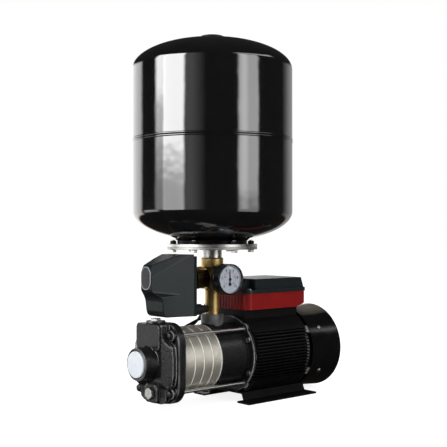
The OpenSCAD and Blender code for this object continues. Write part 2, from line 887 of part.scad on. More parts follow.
// One closed impeller in the chamber that starts at x0
module impeller(x0) {
  front = x0 + neck_l;
  blades = front + shroud_t;
  back = blades + blade_l;
  difference() {
    union() {
      turned([[eye_r, x0], [eye_r + neck_t, x0], [eye_r + neck_t, front], [impeller_r, front],
        [impeller_r, blades], [eye_r, blades]]);
      shaft_bar(impeller_r, back, back + shroud_t);
      shaft_bar(pump_shaft_r + hub_t, blades, blades + chamber_l);
      intersection() {
        shaft_bar(impeller_r, blades - shroud_t / 2, back + shroud_t / 2);
        for (i = [0 : blade_count - 1]) translate([blades - shroud_t / 2, 0, shaft_h])
          rotate([i * 360 / blade_count, 0, 0]) translate([0, eye_r, 0]) rotate([blade_lean, 0, 0])
            cube([blade_l + shroud_t, impeller_r, blade_t]);
      }
    }
    shaft_bar(pump_shaft_r + seat_gap, x0 - cut, blades + chamber_l + cut);
  }
}

// The impellers, one to a stage
module impellers() {
  color(steel) for (i = [0 : stages - 1]) impeller(stack_x0 + i * chamber_l);
}

// Rotating head of the shaft seal, with its sleeve
module seal_head() {
  face = flange_x - back_wall_t + seal_pocket - seal_seat_t - seat_gap;
  sleeve_x = discharge_x0 + neck_l + shroud_t;
  color([0.16, 0.16, 0.17]) turned([
    [pump_shaft_r + seat_gap, sleeve_x], [pump_shaft_r + seal_sleeve_t, sleeve_x],
    [pump_shaft_r + seal_sleeve_t, face - seal_head_l], [seal_head_r, face - seal_head_l],
    [seal_head_r, face - seal_head_l / 3], [seal_head_r - seal_sleeve_t / 2, face - seal_head_l / 3],
    [seal_head_r - seal_sleeve_t / 2, face], [pump_shaft_r + seat_gap, face]]);
}

// Fixed seat of the shaft seal
module seal_seat() {
  x1 = flange_x - back_wall_t + seal_pocket;
  color([0.85, 0.83, 0.78]) turned([[pump_shaft_r + free_gap, x1 - seal_seat_t],
    [seal_bore_r - seat_gap, x1 - seal_seat_t], [seal_bore_r - seat_gap, x1],
    [pump_shaft_r + free_gap, x1]]);
}

// One stage chamber: a ring with a front wall, open towards the motor
module chamber(i) {
  x0 = stack_x0 + i * chamber_l;
  x1 = x0 + chamber_l;
  hole = eye_r + neck_t + free_gap;
  color(steel) turned([
    [hole, x0], [chamber_r - bead_t, x0], [chamber_r, x0 + bead_t], [chamber_r, x1 - bead_l],
    [chamber_r - bead_t, x1 - bead_l + bead_t / 2], [chamber_r - bead_t, x1],
    [chamber_r - chamber_t, x1], [chamber_r - chamber_t, x0 + chamber_wall_t],
    [hole, x0 + chamber_wall_t]]);
}

module chamber_1() { chamber(0); }
module chamber_2() { chamber(1); }
module chamber_3() { chamber(2); }
module chamber_4() { chamber(3); }

// Discharge part: ring, back wall with the seal's seat, and upright outlet hub
module discharge_part() {
  seam_x = (discharge_x0 + flange_x) / 2 + seam_groove;
  cavity = chamber_r - cavity_wall;
  color(cast_black) difference() {
    union() {
      shaft_bar(chamber_r, discharge_x0, flange_x);
      translate([outlet_x, 0, shaft_h]) cylinder(r = hub_r, h = hub_rise);
    }
    shaft_bar(cavity, discharge_x0 - cut, flange_x - back_wall_t);
    shaft_bar(seal_bore_r, flange_x - back_wall_t - cut, flange_x - back_wall_t + seal_pocket);
    shaft_bar(seal_hole_r, flange_x - back_wall_t, flange_x + cut);
    translate([outlet_x, 0, shaft_h + hub_bore_low]) cylinder(r = hub_bore_r, h = hub_rise);
    difference() {
      shaft_bar(chamber_r + cut, seam_x, seam_x + seam_groove);
      shaft_bar(chamber_r - seam_groove, seam_x - cut, seam_x + seam_groove + cut);
      translate([outlet_x, 0, shaft_h]) cylinder(r = hub_r, h = hub_rise);
    }
  }
}

// Half outline of the inlet part's body, as shares of the rim's half sizes
body_outline_shares = [[0.6, 0.97], [0.6, 0.72], [0.68, 0.58], [0.89, 0.44], [0.93, 0.16],
  [0.93, -0.24], [0.87, -0.48], [0.68, -0.62], [0.6, -0.74], [0.59, -0.88], [0.36, -1]];

// Outline of the inlet part's body behind its front face
module body_outline(grow) {
  half = [for (p = body_outline_shares) [p[0] * rim_w / 2 + grow, p[1] * rim_half_h]];
  polygon(concat(half, [for (i = [len(half) - 1 : -1 : 0]) [-half[i][0], half[i][1]]]));
}

// The body's shape from above and from the side, as shares of the body's length and of its half sizes
body_plan_shares = [[0, 1], [0.55, 0.93], [1, 0.6]];
body_side_shares = [[0, 1], [0.5, 1], [0.62, 0.58], [1, 0.45]];

// Inlet part: rim, tapered body, pad, threaded port and the bosses of both plugs
module inlet_part() {
  half_w = rim_w / 2;
  color(cast_black) difference() {
    union() {
      along_x(rim_x0, stack_x0) round_rect(rim_w, 2 * rim_half_h, rim_round);
      intersection() {
        along_x(face_x, rim_x0 + cut) body_outline(0);
        translate([0, 0, shaft_h - rim_half_h]) linear_extrude(2 * rim_half_h) polygon(concat(
          [for (p = body_plan_shares) [rim_x0 - p[0] * nose_l, p[1] * half_w]],
          [for (i = [2 : -1 : 0])
            [rim_x0 - body_plan_shares[i][0] * nose_l, -body_plan_shares[i][1] * half_w]],
          [[rim_x0 + cut, -half_w], [rim_x0 + cut, half_w]]));
        translate([0, half_w, shaft_h]) rotate([90, 0, 0]) linear_extrude(rim_w) polygon(concat(
          [[rim_x0 + cut, rim_half_h], [face_x, rim_half_h]],
          [for (i = [3 : -1 : 0])
            [rim_x0 - body_side_shares[i][0] * nose_l, -body_side_shares[i][1] * rim_half_h]],
          [[rim_x0 + cut, -rim_half_h]]));
      }
      for (i = [1, 2]) along_x(rim_x0 - i * (rib_gap + rib_plate_t) + rib_plate_t / 2,
        rim_x0 - i * (rib_gap + rib_plate_t) + 3 * rib_plate_t / 2) intersection() {
          body_outline(rib_rise / i);
          square(2 * (rim_half_h - rib_plate_t), center = true);
        }
      along_x(face_x - pad_t, face_x + cut) translate([0, (pad_low + pad_high) / 2])
        round_rect(2 * pad_half_w, pad_high - pad_low, pad_round);
      shaft_bar(port_r, mouth_x, rim_x0);
      along_x(drain_x, rim_x0) polygon([
        [drain_corner - drain_boss_half, -drain_foot], [drain_boss_half - drain_corner, -drain_foot],
        [drain_boss_half, drain_corner - drain_foot], [drain_boss_half, -drain_shoulder], [0, -drain_peak],
        [-drain_boss_half, -drain_shoulder], [-drain_boss_half, drain_corner - drain_foot]]);
      translate([prime_x, 0, shaft_h]) cylinder(r = prime_boss_r, h = prime_boss_rise);
      at_rods(rim_x0 - head_seat_l) cylinder(r = head_boss_r, h = head_seat_l + cut);
    }
    shaft_bar(cavity_r, stack_x0 - cavity_l, stack_x0 + cut);
    shaft_bar(inlet_bore_r, mouth_x - cut, stack_x0);
    shaft_bar(cap_r + free_gap / 2, mouth_x - cut, mouth_x + mouth_depth);
    translate([prime_x, 0, shaft_h]) cylinder(r = prime_hole_r, h = prime_boss_rise + cut);
    translate([drain_x - cut, 0, shaft_h - drain_low]) rotate([0, 90, 0])
      cylinder(r = drain_hole_r, h = rim_x0 - drain_x + cut);
    at_rods(rim_x0 - head_seat_l - cut) cylinder(r = rod_d / 2 + seat_gap, h = rim_l + head_seat_l + 2 * cut);
    at_rods(face_x) cylinder(r = rod_head_af / sqrt(3) + free_gap, h = rim_x0 - head_seat_l - face_x);
  }
}

// Four long screws that clamp the stages between inlet part and motor flange
module tie_rods() {
  head_x = rim_x0 - head_seat_l;
  color(steel) at_rods(head_x) {
    translate([0, 0, -rod_head_h]) hex_bar(rod_head_af, rod_head_h);
    cylinder(r = rod_d / 2, h = frame_x0 + rod_thread_l - head_x);
  }
}

// White cap in the mouth of the inlet port
module inlet_cap() {
  color([0.9, 0.91, 0.92]) translate([mouth_x + mouth_depth, 0, shaft_h]) rotate([0, -90, 0]) {
    cylinder(r = cap_r, h = cap_t - free_gap);
    cylinder(r = cap_r - free_gap, h = cap_t);
  }
}

// A hexagon plug along +Z with its head's underside at z = 0
module plug(af, head_h, shank_r, l) {
  hex_bar(af, head_h);
  translate([0, 0, -l]) cylinder(r = shank_r, h = l);
}

// Priming plug on top of the inlet part
module priming_plug() {
  color(zinc) translate([prime_x, 0, shaft_h + prime_boss_rise])
    plug(prime_af, prime_head_h, prime_hole_r - run_gap, prime_l);
}

// Drain plug low on the inlet part's front
module drain_plug() {
  color(zinc) translate([drain_x, 0, shaft_h - drain_low]) rotate([0, -90, 0])
    plug(drain_af, drain_head_h, drain_hole_r - run_gap, drain_l);
}

// Outlet adapter, screwed into the hub; it holds the seat of the check valve
module outlet_adapter() {
  color(cast_black) upright([
    [seat_r, hub_z - spigot_l], [hub_bore_r - seat_gap, hub_z - spigot_l], [hub_bore_r - seat_gap, hub_z],
    [adapter_d / 2, hub_z], [adapter_d / 2, adapter_z], [valve_chamber_r, adapter_z],
    [valve_chamber_r, valve_seat_z], [seat_r, valve_seat_z]]);
}

// Check valve disc with its crossed guide
module check_valve_disc() {
  guide_r = seat_r - run_gap;
  color(dark_plastic) translate([outlet_x, 0, valve_seat_z]) {
    cylinder(r = valve_disc_r, h = valve_disc_t);
    intersection() {
      translate([0, 0, -guide_l]) cylinder(r = guide_r, h = guide_l + valve_disc_t);
      for (a = [0, 90]) rotate([0, 0, a]) translate([-guide_r, -guide_t / 2, -guide_l])
        cube([2 * guide_r, guide_t, guide_l + valve_disc_t / 2]);
    }
  }
}

// Spring between the disc and the brass fitting
module check_valve_spring() {
  z0 = valve_seat_z + valve_disc_t;
  z1 = adapter_z - fitting_spigot_l;
  color(steel) upright([[valve_disc_r - 2 * spring_t, z0], [valve_disc_r - spring_t, z0],
    [valve_disc_r - spring_t, z1], [valve_disc_r - 2 * spring_t, z1]]);
}

// Brass fitting with ports for the switch, the gauge, the outlet and the tank
module manifold() {
  low_r = body_lower_share * body_r;
  color(brass) difference() {
    union() {
      upright([[0, adapter_z - fitting_spigot_l], [valve_chamber_r - seat_gap, adapter_z - fitting_spigot_l],
        [valve_chamber_r - seat_gap, adapter_z], [low_r, adapter_z], [low_r, adapter_z + body_lower_l],
        [body_r, adapter_z + body_lower_l + body_r - low_r], [body_r, body_z],
        [collar_d / 2 - collar_chamfer, body_z], [collar_d / 2, body_z + collar_chamfer],
        [collar_d / 2, collar_z - collar_chamfer], [collar_d / 2 - collar_chamfer, collar_z], [0, collar_z]]);
      translate([outlet_x, 0, port_z]) {
        rotate([-90, 0, 0]) cylinder(r = switch_branch_reach - free_gap, h = outlet_boss_reach);
        translate([0, switch_nut_r + free_gap, 0]) rotate([-90, 0, 0])
          cylinder(r = outlet_boss_r, h = outlet_boss_reach - switch_nut_r - free_gap);
        rotate([0, -90, 0]) cylinder(r = switch_branch_r + collar_chamfer, h = switch_branch_reach);
        rotate([0, -90, 0])
          cylinder(r = switch_branch_r, h = switch_branch_reach + stub_share * switch_nut_l);
      }
      gauge_axis() cylinder(r = gauge_branch_r, h = gauge_branch_reach);
    }
    upright([[0, adapter_z - fitting_spigot_l - cut], [waterway_r, adapter_z - fitting_spigot_l - cut],
      [waterway_r, body_z], [outlet_bore_r, body_z], [outlet_bore_r, collar_z + cut], [0, collar_z + cut]]);
    translate([outlet_x, outlet_boss_reach - outlet_bore_l, port_z]) rotate([-90, 0, 0])
      cylinder(r = outlet_bore_r, h = outlet_bore_l + cut);
    translate([outlet_x, 0, port_z]) {
      rotate([-90, 0, 0]) cylinder(r = waterway_r, h = outlet_boss_reach);
      rotate([0, -90, 0]) cylinder(r = plunger_r, h = 2 * switch_reach);
    }
    gauge_axis() cylinder(r = stem_r + seat_gap, h = gauge_branch_reach + cut);
  }
}

// The gauge's own frame: +Z points from the outlet axis to the dial, +Y points up
module gauge_axis() {
  translate([outlet_x, 0, port_z]) rotate([0, 0, -gauge_turn]) rotate([90, 0, 0]) children();
}

// Steel nipple between the brass fitting and the counter flange
module nipple() {
  color(steel) upright([
    [nipple_bore_r, body_z + collar_chamfer], [outlet_bore_r - seat_gap, body_z + collar_chamfer],
    [outlet_bore_r - seat_gap, collar_z], [nipple_r, collar_z], [nipple_r, nipple_z],
    [nipple_bore_r, nipple_z]]);
}

// Places of the counter flange's bolts at height z
module at_bolts(z) {
  for (i = [0 : bolt_count - 1]) translate([outlet_x, 0, z]) rotate([0, 0, bolt_angle + i * 360 / bolt_count])
    translate([bolt_circle_d / 2, 0, 0]) children();
}

// Counter flange under the tank
module counter_flange() {
  color(steel) difference() {
    translate([outlet_x, 0, nipple_z]) cylinder(r = counter_r, h = counter_t);
    translate([outlet_x, 0, nipple_z - cut]) cylinder(r = nipple_bore_r, h = counter_t + 2 * cut);
    at_bolts(nipple_z - cut) cylinder(r = bolt_hole_r, h = counter_t + 2 * cut);
  }
}

// Clamp ring over the lip of the tank's neck
module clamp_ring() {
  step_z = counter_z + rim_seal_t + lip_t + seat_gap;
  color(steel) difference() {
    upright([[lip_r + seat_gap, counter_z], [counter_r, counter_z], [counter_r, clamp_z],
      [neck_r + seat_gap, clamp_z], [neck_r + seat_gap, step_z], [lip_r + seat_gap, step_z]]);
    at_bolts(counter_z - cut) cylinder(r = bolt_hole_r, h = clamp_t + 2 * cut);
  }
}

// Bolts and nuts of the counter flange
module flange_bolts() {
  color(zinc) at_bolts(nipple_z) {
    translate([0, 0, -bolt_head_h]) hex_bar(bolt_af, bolt_head_h);
    cylinder(r = bolt_r, h = counter_t + clamp_t + bolt_nut_h + bolt_tip);
  }
  color(cast_black) at_bolts(clamp_z) difference() {
    hex_bar(bolt_af, bolt_nut_h);
    translate([0, 0, -cut]) cylinder(r = bolt_r + seat_gap, h = bolt_nut_h + 2 * cut);
  }
}

// Height of the lower dome's outside at radius r
function lower_dome_z(r) = wall_z0 - lower_dome_h * sqrt(1 - pow(r / tank_r, 2));

// Neck of the tank with its clamped lip and the flare under the shell
module tank_neck() {
  flare_z = lower_dome_z(neck_flare_r) - free_gap;
  lip_z = counter_z + rim_seal_t;
  color(black_paint) upright([
    [neck_bore_r, lip_z], [lip_r, lip_z], [lip_r, lip_z + lip_t], [neck_r, lip_z + lip_t],
    [neck_r, flare_z - neck_flare_l], [neck_flare_r, flare_z], [neck_r, flare_z - free_gap],
    [neck_r, lower_dome_z(neck_r) + tank_t], [neck_bore_r, lower_dome_z(neck_r) + tank_t]]);
}

// Rubber bladder: a bag whose rim is clamped under the neck's lip
module bladder() {
  r = tank_r - tank_t - bladder_gap;
  neck = neck_bore_r - seat_gap;
  low_h = lower_dome_h - bladder_gap;
  top_h = upper_dome_h - bladder_gap;
  top_z = wall_z1 - bladder_gap - valve_body_l;
  start = -acos(neck / r);
  inner_start = -acos((neck - bladder_t) / (r - bladder_t));
  color([0.12, 0.12, 0.13]) upright(concat(
    [[neck - bladder_t, counter_z], [lip_r, counter_z], [lip_r, counter_z + rim_seal_t],
      [neck, counter_z + rim_seal_t]],
    dome(r, low_h, wall_z0, start, 0), dome(r, top_h, top_z, 0, 90),
    dome(r - bladder_t, top_h - bladder_t, top_z, 90, 0),
    dome(r - bladder_t, low_h - bladder_t, wall_z0, 0, inner_start)));
}

// Lower shell of the tank
module tank_lower_shell() {
  hole = neck_r + seat_gap;
  start = -acos(hole / tank_r);
  inner_start = -acos(hole / (tank_r - tank_t));
  color(black_paint) upright(concat(
    dome(tank_r, lower_dome_h, wall_z0, start, 0),
    [[tank_r, seam_z - seam_bead_l], [tank_r + seam_bead_t, seam_z - seam_bead_l + seam_bead_t],
      [tank_r + seam_bead_t, seam_z - seam_bead_t], [tank_r, seam_z], [tank_r - tank_t, seam_z]],
    dome(tank_r - tank_t, lower_dome_h - tank_t, wall_z0, 0, inner_start)));
}

// Upper shell of the tank with the hole of the air valve
module tank_upper_shell() {
  hole = valve_hole_r + seat_gap;
  end = acos(hole / tank_r);
  inner_end = acos(hole / (tank_r - tank_t));
  color(black_paint) upright(concat(
    [[tank_r - tank_t, seam_z], [tank_r, seam_z], [tank_r + seam_bead_t, seam_z + seam_bead_t],
      [tank_r + seam_bead_t, seam_z + seam_bead_l - seam_bead_t], [tank_r, seam_z + seam_bead_l]],
    dome(tank_r, upper_dome_h, wall_z1, 0, end),
    dome(tank_r - tank_t, upper_dome_h - tank_t, wall_z1, inner_end, 0)));
}

// Body of the air valve in the tank's crown
module air_valve_body() {
  low = crown_z - valve_body_l;
  color(brass) upright([[valve_seat_r, low], [valve_hole_r, low], [valve_hole_r, crown_z],
    [valve_flange_r, crown_z], [valve_flange_r, crown_z + valve_flange_t],
    [valve_bore_r, crown_z + valve_flange_t], [valve_bore_r, low + valve_seat_l],
    [valve_seat_r, low + valve_seat_l]]);
}

// Pin of the air valve with its guide collar
module air_valve_core() {
  top = crown_z + valve_flange_t + valve_pin_up;
  color(brass) translate([outlet_x, 0, 0]) {
    translate([0, 0, top - valve_pin_l]) cylinder(r = valve_pin_r, h = valve_pin_l);
    translate([0, 0, crown_z - valve_collar_l - valve_flange_t])
      cylinder(r = valve_bore_r - run_gap, h = valve_collar_l);
  }
}

// Cap over the air valve
module air_valve_cap() {
  low = wall_z1 + upper_dome_h * sqrt(1 - pow(valve_cap_r / tank_r, 2)) + free_gap;
  top = low + valve_cap_h;
  inner = crown_z + valve_flange_t + valve_pin_up + free_gap;
  grip = valve_flange_r + free_gap;
  color(dark_plastic) upright([
    [0, inner], [grip, inner], [grip, crown_z + free_gap], [grip + valve_cap_t, crown_z + free_gap],
    [grip + valve_cap_t, inner], [valve_cap_r - valve_cap_t, inner],
    [valve_cap_r - valve_cap_t, low + free_gap / 2], [valve_cap_r, low],
    [valve_cap_r, top - valve_cap_t], [valve_cap_r - valve_cap_t, top], [0, top]]);
}

// Brass stem of the gauge with its hexagon and the block that carries the movement
module gauge_stem() {
  leg_l = sqrt(pow(bourdon_r - bourdon_t / 2, 2) - pow(bourdon_w / 2, 2)) - stem_block / 2 - seat_gap;
  neck_z = gauge_branch_reach - stem_thread_l;
  color(brass) gauge_axis() difference() {
    union() {
      translate([0, 0, neck_z]) cylinder(r = stem_r, h = gauge_back + 2 * gauge_t - neck_z);
      translate([0, 0, gauge_branch_reach]) hex_bar(stem_af, gauge_back - gauge_branch_reach - free_gap);
      translate([-stem_block / 2, -stem_block / 2, gauge_back + gauge_t])
        cube([stem_block, stem_block, gauge_depth / 3]);
      translate([-bourdon_w / 2, -stem_block / 2 - leg_l, gauge_back + gauge_t])
        cube([bourdon_w, leg_l + cut, bourdon_w]);
    }
    translate([0, 0, neck_z - cut]) cylinder(r = pointer_r, h = stem_thread_l);
    translate([0, 0, gauge_back + gauge_t]) cylinder(r = pointer_r + run_gap, h = gauge_depth);
  }
}

// Case of the gauge, closed at the back, with the ledge of the dial and the lip over the glass
module gauge_case() {
  inner = gauge_r - gauge_t;
  glass_z = gauge_reach - glass_lip;
  color(black_paint) gauge_axis() rotate_extrude() polygon([
    [stem_r + seat_gap, gauge_back], [gauge_r - gauge_t, gauge_back], [gauge_r, gauge_back + gauge_t],
    [gauge_r, gauge_reach - glass_lip], [gauge_r - glass_lip, gauge_reach], [gauge_r - lip_w, gauge_reach],
    [gauge_r - lip_w, glass_z], [inner, glass_z], [inner, dial_z], [gauge_r - dial_ledge, dial_z],
    [gauge_r - dial_ledge, gauge_back + gauge_t], [stem_r + seat_gap, gauge_back + gauge_t]]);
}

// Dial with the hole of the pointer's shaft
module gauge_dial() {
  color([0.86, 0.88, 0.9]) gauge_axis() difference() {
    translate([0, 0, dial_z]) cylinder(r = gauge_r - gauge_t - seat_gap, h = dial_t);
    translate([0, 0, dial_z - cut]) cylinder(r = pointer_r + run_gap, h = dial_t + 2 * cut);
  }
}

// Glass of the gauge
module gauge_glass() {
  color([0.8, 0.88, 0.92]) gauge_axis() translate([0, 0, gauge_reach - glass_lip - glass_t])
    cylinder(r = gauge_r - gauge_t - seat_gap, h = glass_t);
}

// Pointer with its shaft, at twelve o'clock
module gauge_pointer() {
  z = dial_z + dial_t + pointer_lift;
  color(black_paint) gauge_axis() {
    translate([0, 0, gauge_back + 2 * gauge_t])
      cylinder(r = pointer_r, h = z + pointer_t - gauge_back - 2 * gauge_t);
    translate([0, 0, z]) {
      cylinder(r = pointer_hub_r, h = 2 * pointer_t);
      linear_extrude(pointer_t) polygon([[-pointer_w, 0], [pointer_w, 0], [0, pointer_l]]);
      translate([-pointer_w / 2, -pointer_tail_l, 0]) cube([pointer_w, pointer_tail_l, pointer_t]);
      translate([0, -pointer_tail_l, 0]) cylinder(r = pointer_tail_r, h = pointer_t);
    }
  }
}

// Bourdon tube: three quarters of a ring round the stem's block
module bourdon_tube() {
  color(brass) gauge_axis() difference() {
    translate([0, 0, gauge_back + gauge_t]) rotate_extrude()
      translate([bourdon_r - bourdon_t / 2, 0]) square([bourdon_t, bourdon_w]);
    translate([0, -bourdon_w, gauge_back]) cube([gauge_r, bourdon_gap_w, gauge_depth]);
  }
}

// Union nut between the brass fitting and the switch
module switch_nut() {
  x1 = outlet_x - switch_branch_reach;
  x0 = x1 - switch_nut_l;
  hex_l = switch_nut_hex_share * switch_nut_l;
  color(brass) difference() {
    union() {
      translate([x0, 0, port_z]) rotate([0, 90, 0]) hex_bar(switch_nut_r * sqrt(3), hex_l);
      translate([x0, 0, port_z]) rotate([0, 90, 0])
        cylinder(r = switch_nut_r - collar_chamfer, h = switch_nut_l);
    }
    translate([x0 - cut, 0, port_z]) rotate([0, 90, 0])
      cylinder(r = switch_branch_r + seat_gap, h = switch_nut_l + 2 * cut);
  }
}

// Base of the switch: panel, port boss, diaphragm housing and the lever's bracket
module switch_base() {
  nut_x0 = outlet_x - switch_branch_reach - switch_nut_l;
  pivot_z = port_z + lever_arm;
  bracket_x = cover_x - bracket_l;
  spring_top = port_z + spring_r + cheek_gap;
  cheek_y = lever_w / 2 + cheek_gap;
  color(dark_plastic) difference() {
    union() {
      translate([cover_x, -cover_w / 2, cover_z0]) cube([base_t, cover_w, cover_h - base_t / 2]);
      translate([base_x, 0, port_z]) rotate([0, 90, 0]) cylinder(r = switch_boss_r, h = nut_x0 - base_x);
      translate([base_x, 0, port_z]) rotate([0, 90, 0])
        cylinder(r = switch_branch_r, h = nut_x0 - base_x + stub_share * switch_nut_l);
      translate([cover_x, 0, port_z]) rotate([0, -90, 0]) cylinder(r = housing_r, h = housing_l);
      for (s = [0, 1]) mirror([0, s, 0]) translate([bracket_x, cheek_y, spring_top])
        cube([bracket_l, cheek_t, pivot_z + cheek_low - spring_top]);
      translate([bracket_x - bracket_t, -cheek_y - cheek_t, port_z - spring_r])
        cube([bracket_t, 2 * (cheek_y + cheek_t), pivot_z + cheek_low - port_z + spring_r]);
    }
    translate([cover_x - housing_l - cut, 0, port_z]) rotate([0, 90, 0])
      cylinder(r = plunger_r + run_gap, h = switch_reach);
    translate([lever_x, -cover_w, pivot_z]) rotate([-90, 0, 0])
      cylinder(r = lever_pin_r + run_gap, h = 2 * cover_w);
  }
}

lever_x = cover_x - housing_l - plunger_out - lever_pin_back;

// Cover shape from above, drawn in by the given wall
module cover_plan(in) {
  polygon([[cover_nose_x + in, nose_w / 2 - in], [cover_x + (in > 0 ? cut : 0), cover_w / 2 - in],
    [cover_x + (in > 0 ? cut : 0), in - cover_w / 2], [cover_nose_x + in, in - nose_w / 2]]);
}

// Cover shape from the side as shares of its length and height
cover_side_shares = [[0, 0.44], [0, 0.775], [0.05, 0.835], [0.4, 0.93], [0.72, 1], [1, 1], [1, 0], [0.26, 0],
  [0.16, 0.035], [0.11, 0.09], [0.086, 0.16], [0.086, 0.35]];

// Cover shape from the side, drawn in by the given wall
module cover_side(in) {
  sx = (cover_l - 2 * in) / cover_l;
  sz = (cover_h - 2 * in) / cover_h;
  polygon([for (p = cover_side_shares)
    [cover_nose_x + in + p[0] * cover_l * (p[0] == 1 && in > 0 ? 1 : sx),
     cover_z0 + in + p[1] * cover_h * sz]]);
}

// Cover shape as a solid, drawn in by the given wall and open towards the base
module cover_body(in) {
  intersection() {
    translate([0, 0, cover_z0 - cut]) linear_extrude(cover_h + 2 * cut) cover_plan(in);
    translate([0, cover_w, 0]) rotate([90, 0, 0]) linear_extrude(2 * cover_w) cover_side(in);
  }
}

// Cover of the switch with a wedge-shaped groove in each side
module switch_cover() {
  groove_z = cover_z0 + groove_share_z * cover_h;
  side_a = atan2((cover_w - nose_w) / 2, cover_l);
  color(dark_plastic) difference() {
    cover_body(0);
    cover_body(cover_t);
    for (s = [0, 1]) mirror([0, s, 0]) translate([cover_nose_x, nose_w / 2, groove_z]) rotate([0, 0, side_a])
      translate([0, cut, 0]) rotate([90, 0, 0]) linear_extrude(groove_depth + cut)
        polygon([[groove_l / 5, groove_h / 2], [groove_l, 0], [groove_l / 3, -groove_h / 2]]);
  }
}

groove_share_z = 0.31;
groove_l = 48;
groove_h = 9;
groove_depth = 1.6;

// Plunger with a domed tip that the water pressure pushes towards the lever
module switch_plunger() {
  color(steel) translate([cover_x - housing_l - plunger_out + plunger_r, 0, port_z]) rotate([0, 90, 0]) {
    cylinder(r = plunger_r, h = housing_l + plunger_out - plunger_r - plunger_travel / 2);
    sphere(plunger_r);
  }
}

// Lever with its pin; the plunger pushes its lower arm
module contact_lever() {
  pivot_z = port_z + lever_arm;
  back_x = cover_x - housing_l - plunger_out - seat_gap;
  pin_l = lever_w + 2 * cheek_gap + 2 * cheek_t;
  color(zinc) {
    translate([back_x - lever_t, -lever_w / 2, port_z - lever_low])
      cube([lever_t, lever_w, lever_low + lever_arm + lever_t]);
    translate([lever_x, -pin_l / 2, pivot_z]) rotate([-90, 0, 0]) cylinder(r = lever_pin_r, h = pin_l);
  }
}

// Range spring between the lever and the bracket
module range_spring() {
  x0 = cover_x - bracket_l;
  x1 = cover_x - housing_l - plunger_out - lever_t - 2 * seat_gap;
  color(steel) translate([x0, 0, port_z]) rotate([0, 90, 0]) difference() {
    cylinder(r = spring_r, h = x1 - x0);
    translate([0, 0, -cut]) cylinder(r = spring_r - spring_t, h = x1 - x0 + 2 * cut);
  }
}

// A terminal block with its screw wells, standing on z = 0
module terminal_block() {
  wells = 3;
  difference() {
    translate([-block_h / 2, -block_w / 2, 0]) cube([block_h, block_w, block_l]);
    for (i = [0 : wells - 1], s = [-1, 1])
      translate([s * block_h / 4, (i - 1) * block_w / wells, block_l / 2])
        cylinder(r = block_w / wells / 3, h = block_l);
  }
}

// Terminal blocks in the switch and in the terminal box
module terminal_blocks() {
  color([0.85, 0.84, 0.8]) {
    translate([cover_x, 0, cover_z0 + block_foot + block_h / 2]) rotate([0, -90, 0]) terminal_block();
    translate([box_x0 + box_l / 3, 0, box_z + box_t]) terminal_block();
  }
}

// A cable gland along +Z with a hole for its cable, or closed
module gland(l, open) {
  difference() {
    union() {
      cylinder(r = gland_r, h = gland_nut_share * l);
      cylinder(r1 = gland_r, r2 = gland_tip_r, h = l);
    }
    if (open) translate([0, 0, l / 2]) cylinder(r = lead_r + seat_gap, h = l);
  }
}

// Glands of the switch, the near one blanked, and the gland of the terminal box
module cable_glands() {
  color(dark_plastic) {
    translate([base_x, -gland_y, gland_z]) rotate([0, 90, 0]) gland(gland_l, false);
    translate([base_x, gland_y, gland_z]) rotate([0, 90, 0]) gland(gland_l, true);
    translate([box_gland_x, box_half, box_top - box_gland_drop]) rotate([-90, 0, 0])
      gland(box_gland_l, true);
  }
}

box_gland_x = box_x0 + box_gland_x_share * box_l;

// Route of the switch's lead behind the pump in units of lead_unit: first from the mouth of the switch's
// gland, then from the mouth of the terminal box's gland; each end sits in its gland
lead_near_shares = [
  [-1, 0, 0], [0, 0, 0], [0.7, 0, 0], [1.7, 0.05, -0.1], [3, 0.25, -0.4], [4.1, 0.65, -0.8],
  [4.8, 1.3, -1.25], [4.8, 2.05, -1.8], [4.2, 2.7, -2.2], [3.5, 3, -2.37], [2.5, 3.05, -2.67],
  [1.5, 3.1, -3.05], [0.4, 3.35, -3.55], [-0.5, 3.9, -4.15]];
lead_far_shares = [
  [-8.3, 0, -5.6], [-7.6, 0.8, -5.85], [-6.2, 1.35, -5.8], [-4.7, 1.6, -5.45], [-3.4, 1.7, -4.9],
  [-2.3, 1.7, -4.2], [-1.4, 1.7, -3.35], [-0.75, 1.7, -2.4], [-0.35, 1.6, -1.5], [-0.1, 1.3, -0.75],
  [0, 0.75, -0.2], [0, 0.3, 0], [0, 0, 0], [0, -0.7, 0]];
near_mouth = [base_x + gland_l, gland_y, gland_z];
far_mouth = [box_gland_x, box_half + box_gland_l, box_top - box_gland_drop];
lead_points = concat([for (p = lead_near_shares) near_mouth + lead_unit * p],
  [for (p = lead_far_shares) far_mouth + lead_unit * p]);

function route_point(i) = lead_points[min(max(i, 0), len(lead_points) - 1)];
function curve_point(i, t) =
  let (a = route_point(i - 1), b = route_point(i), c = route_point(i + 1), d = route_point(i + 2))
  0.5 * (2 * b + (c - a) * t + (2 * a - 5 * b + 4 * c - d) * t * t + (3 * b - a - 3 * c + d) * t * t * t);
lead_path = concat([for (i = [0 : len(lead_points) - 2], k = [0 : lead_steps - 1])
  curve_point(i, k / lead_steps)], [route_point(len(lead_points))]);
function unit(v) = v / norm(v);
function path_way(i) = unit(lead_path[min(i + 1, len(lead_path) - 1)] - lead_path[max(i - 1, 0)]);

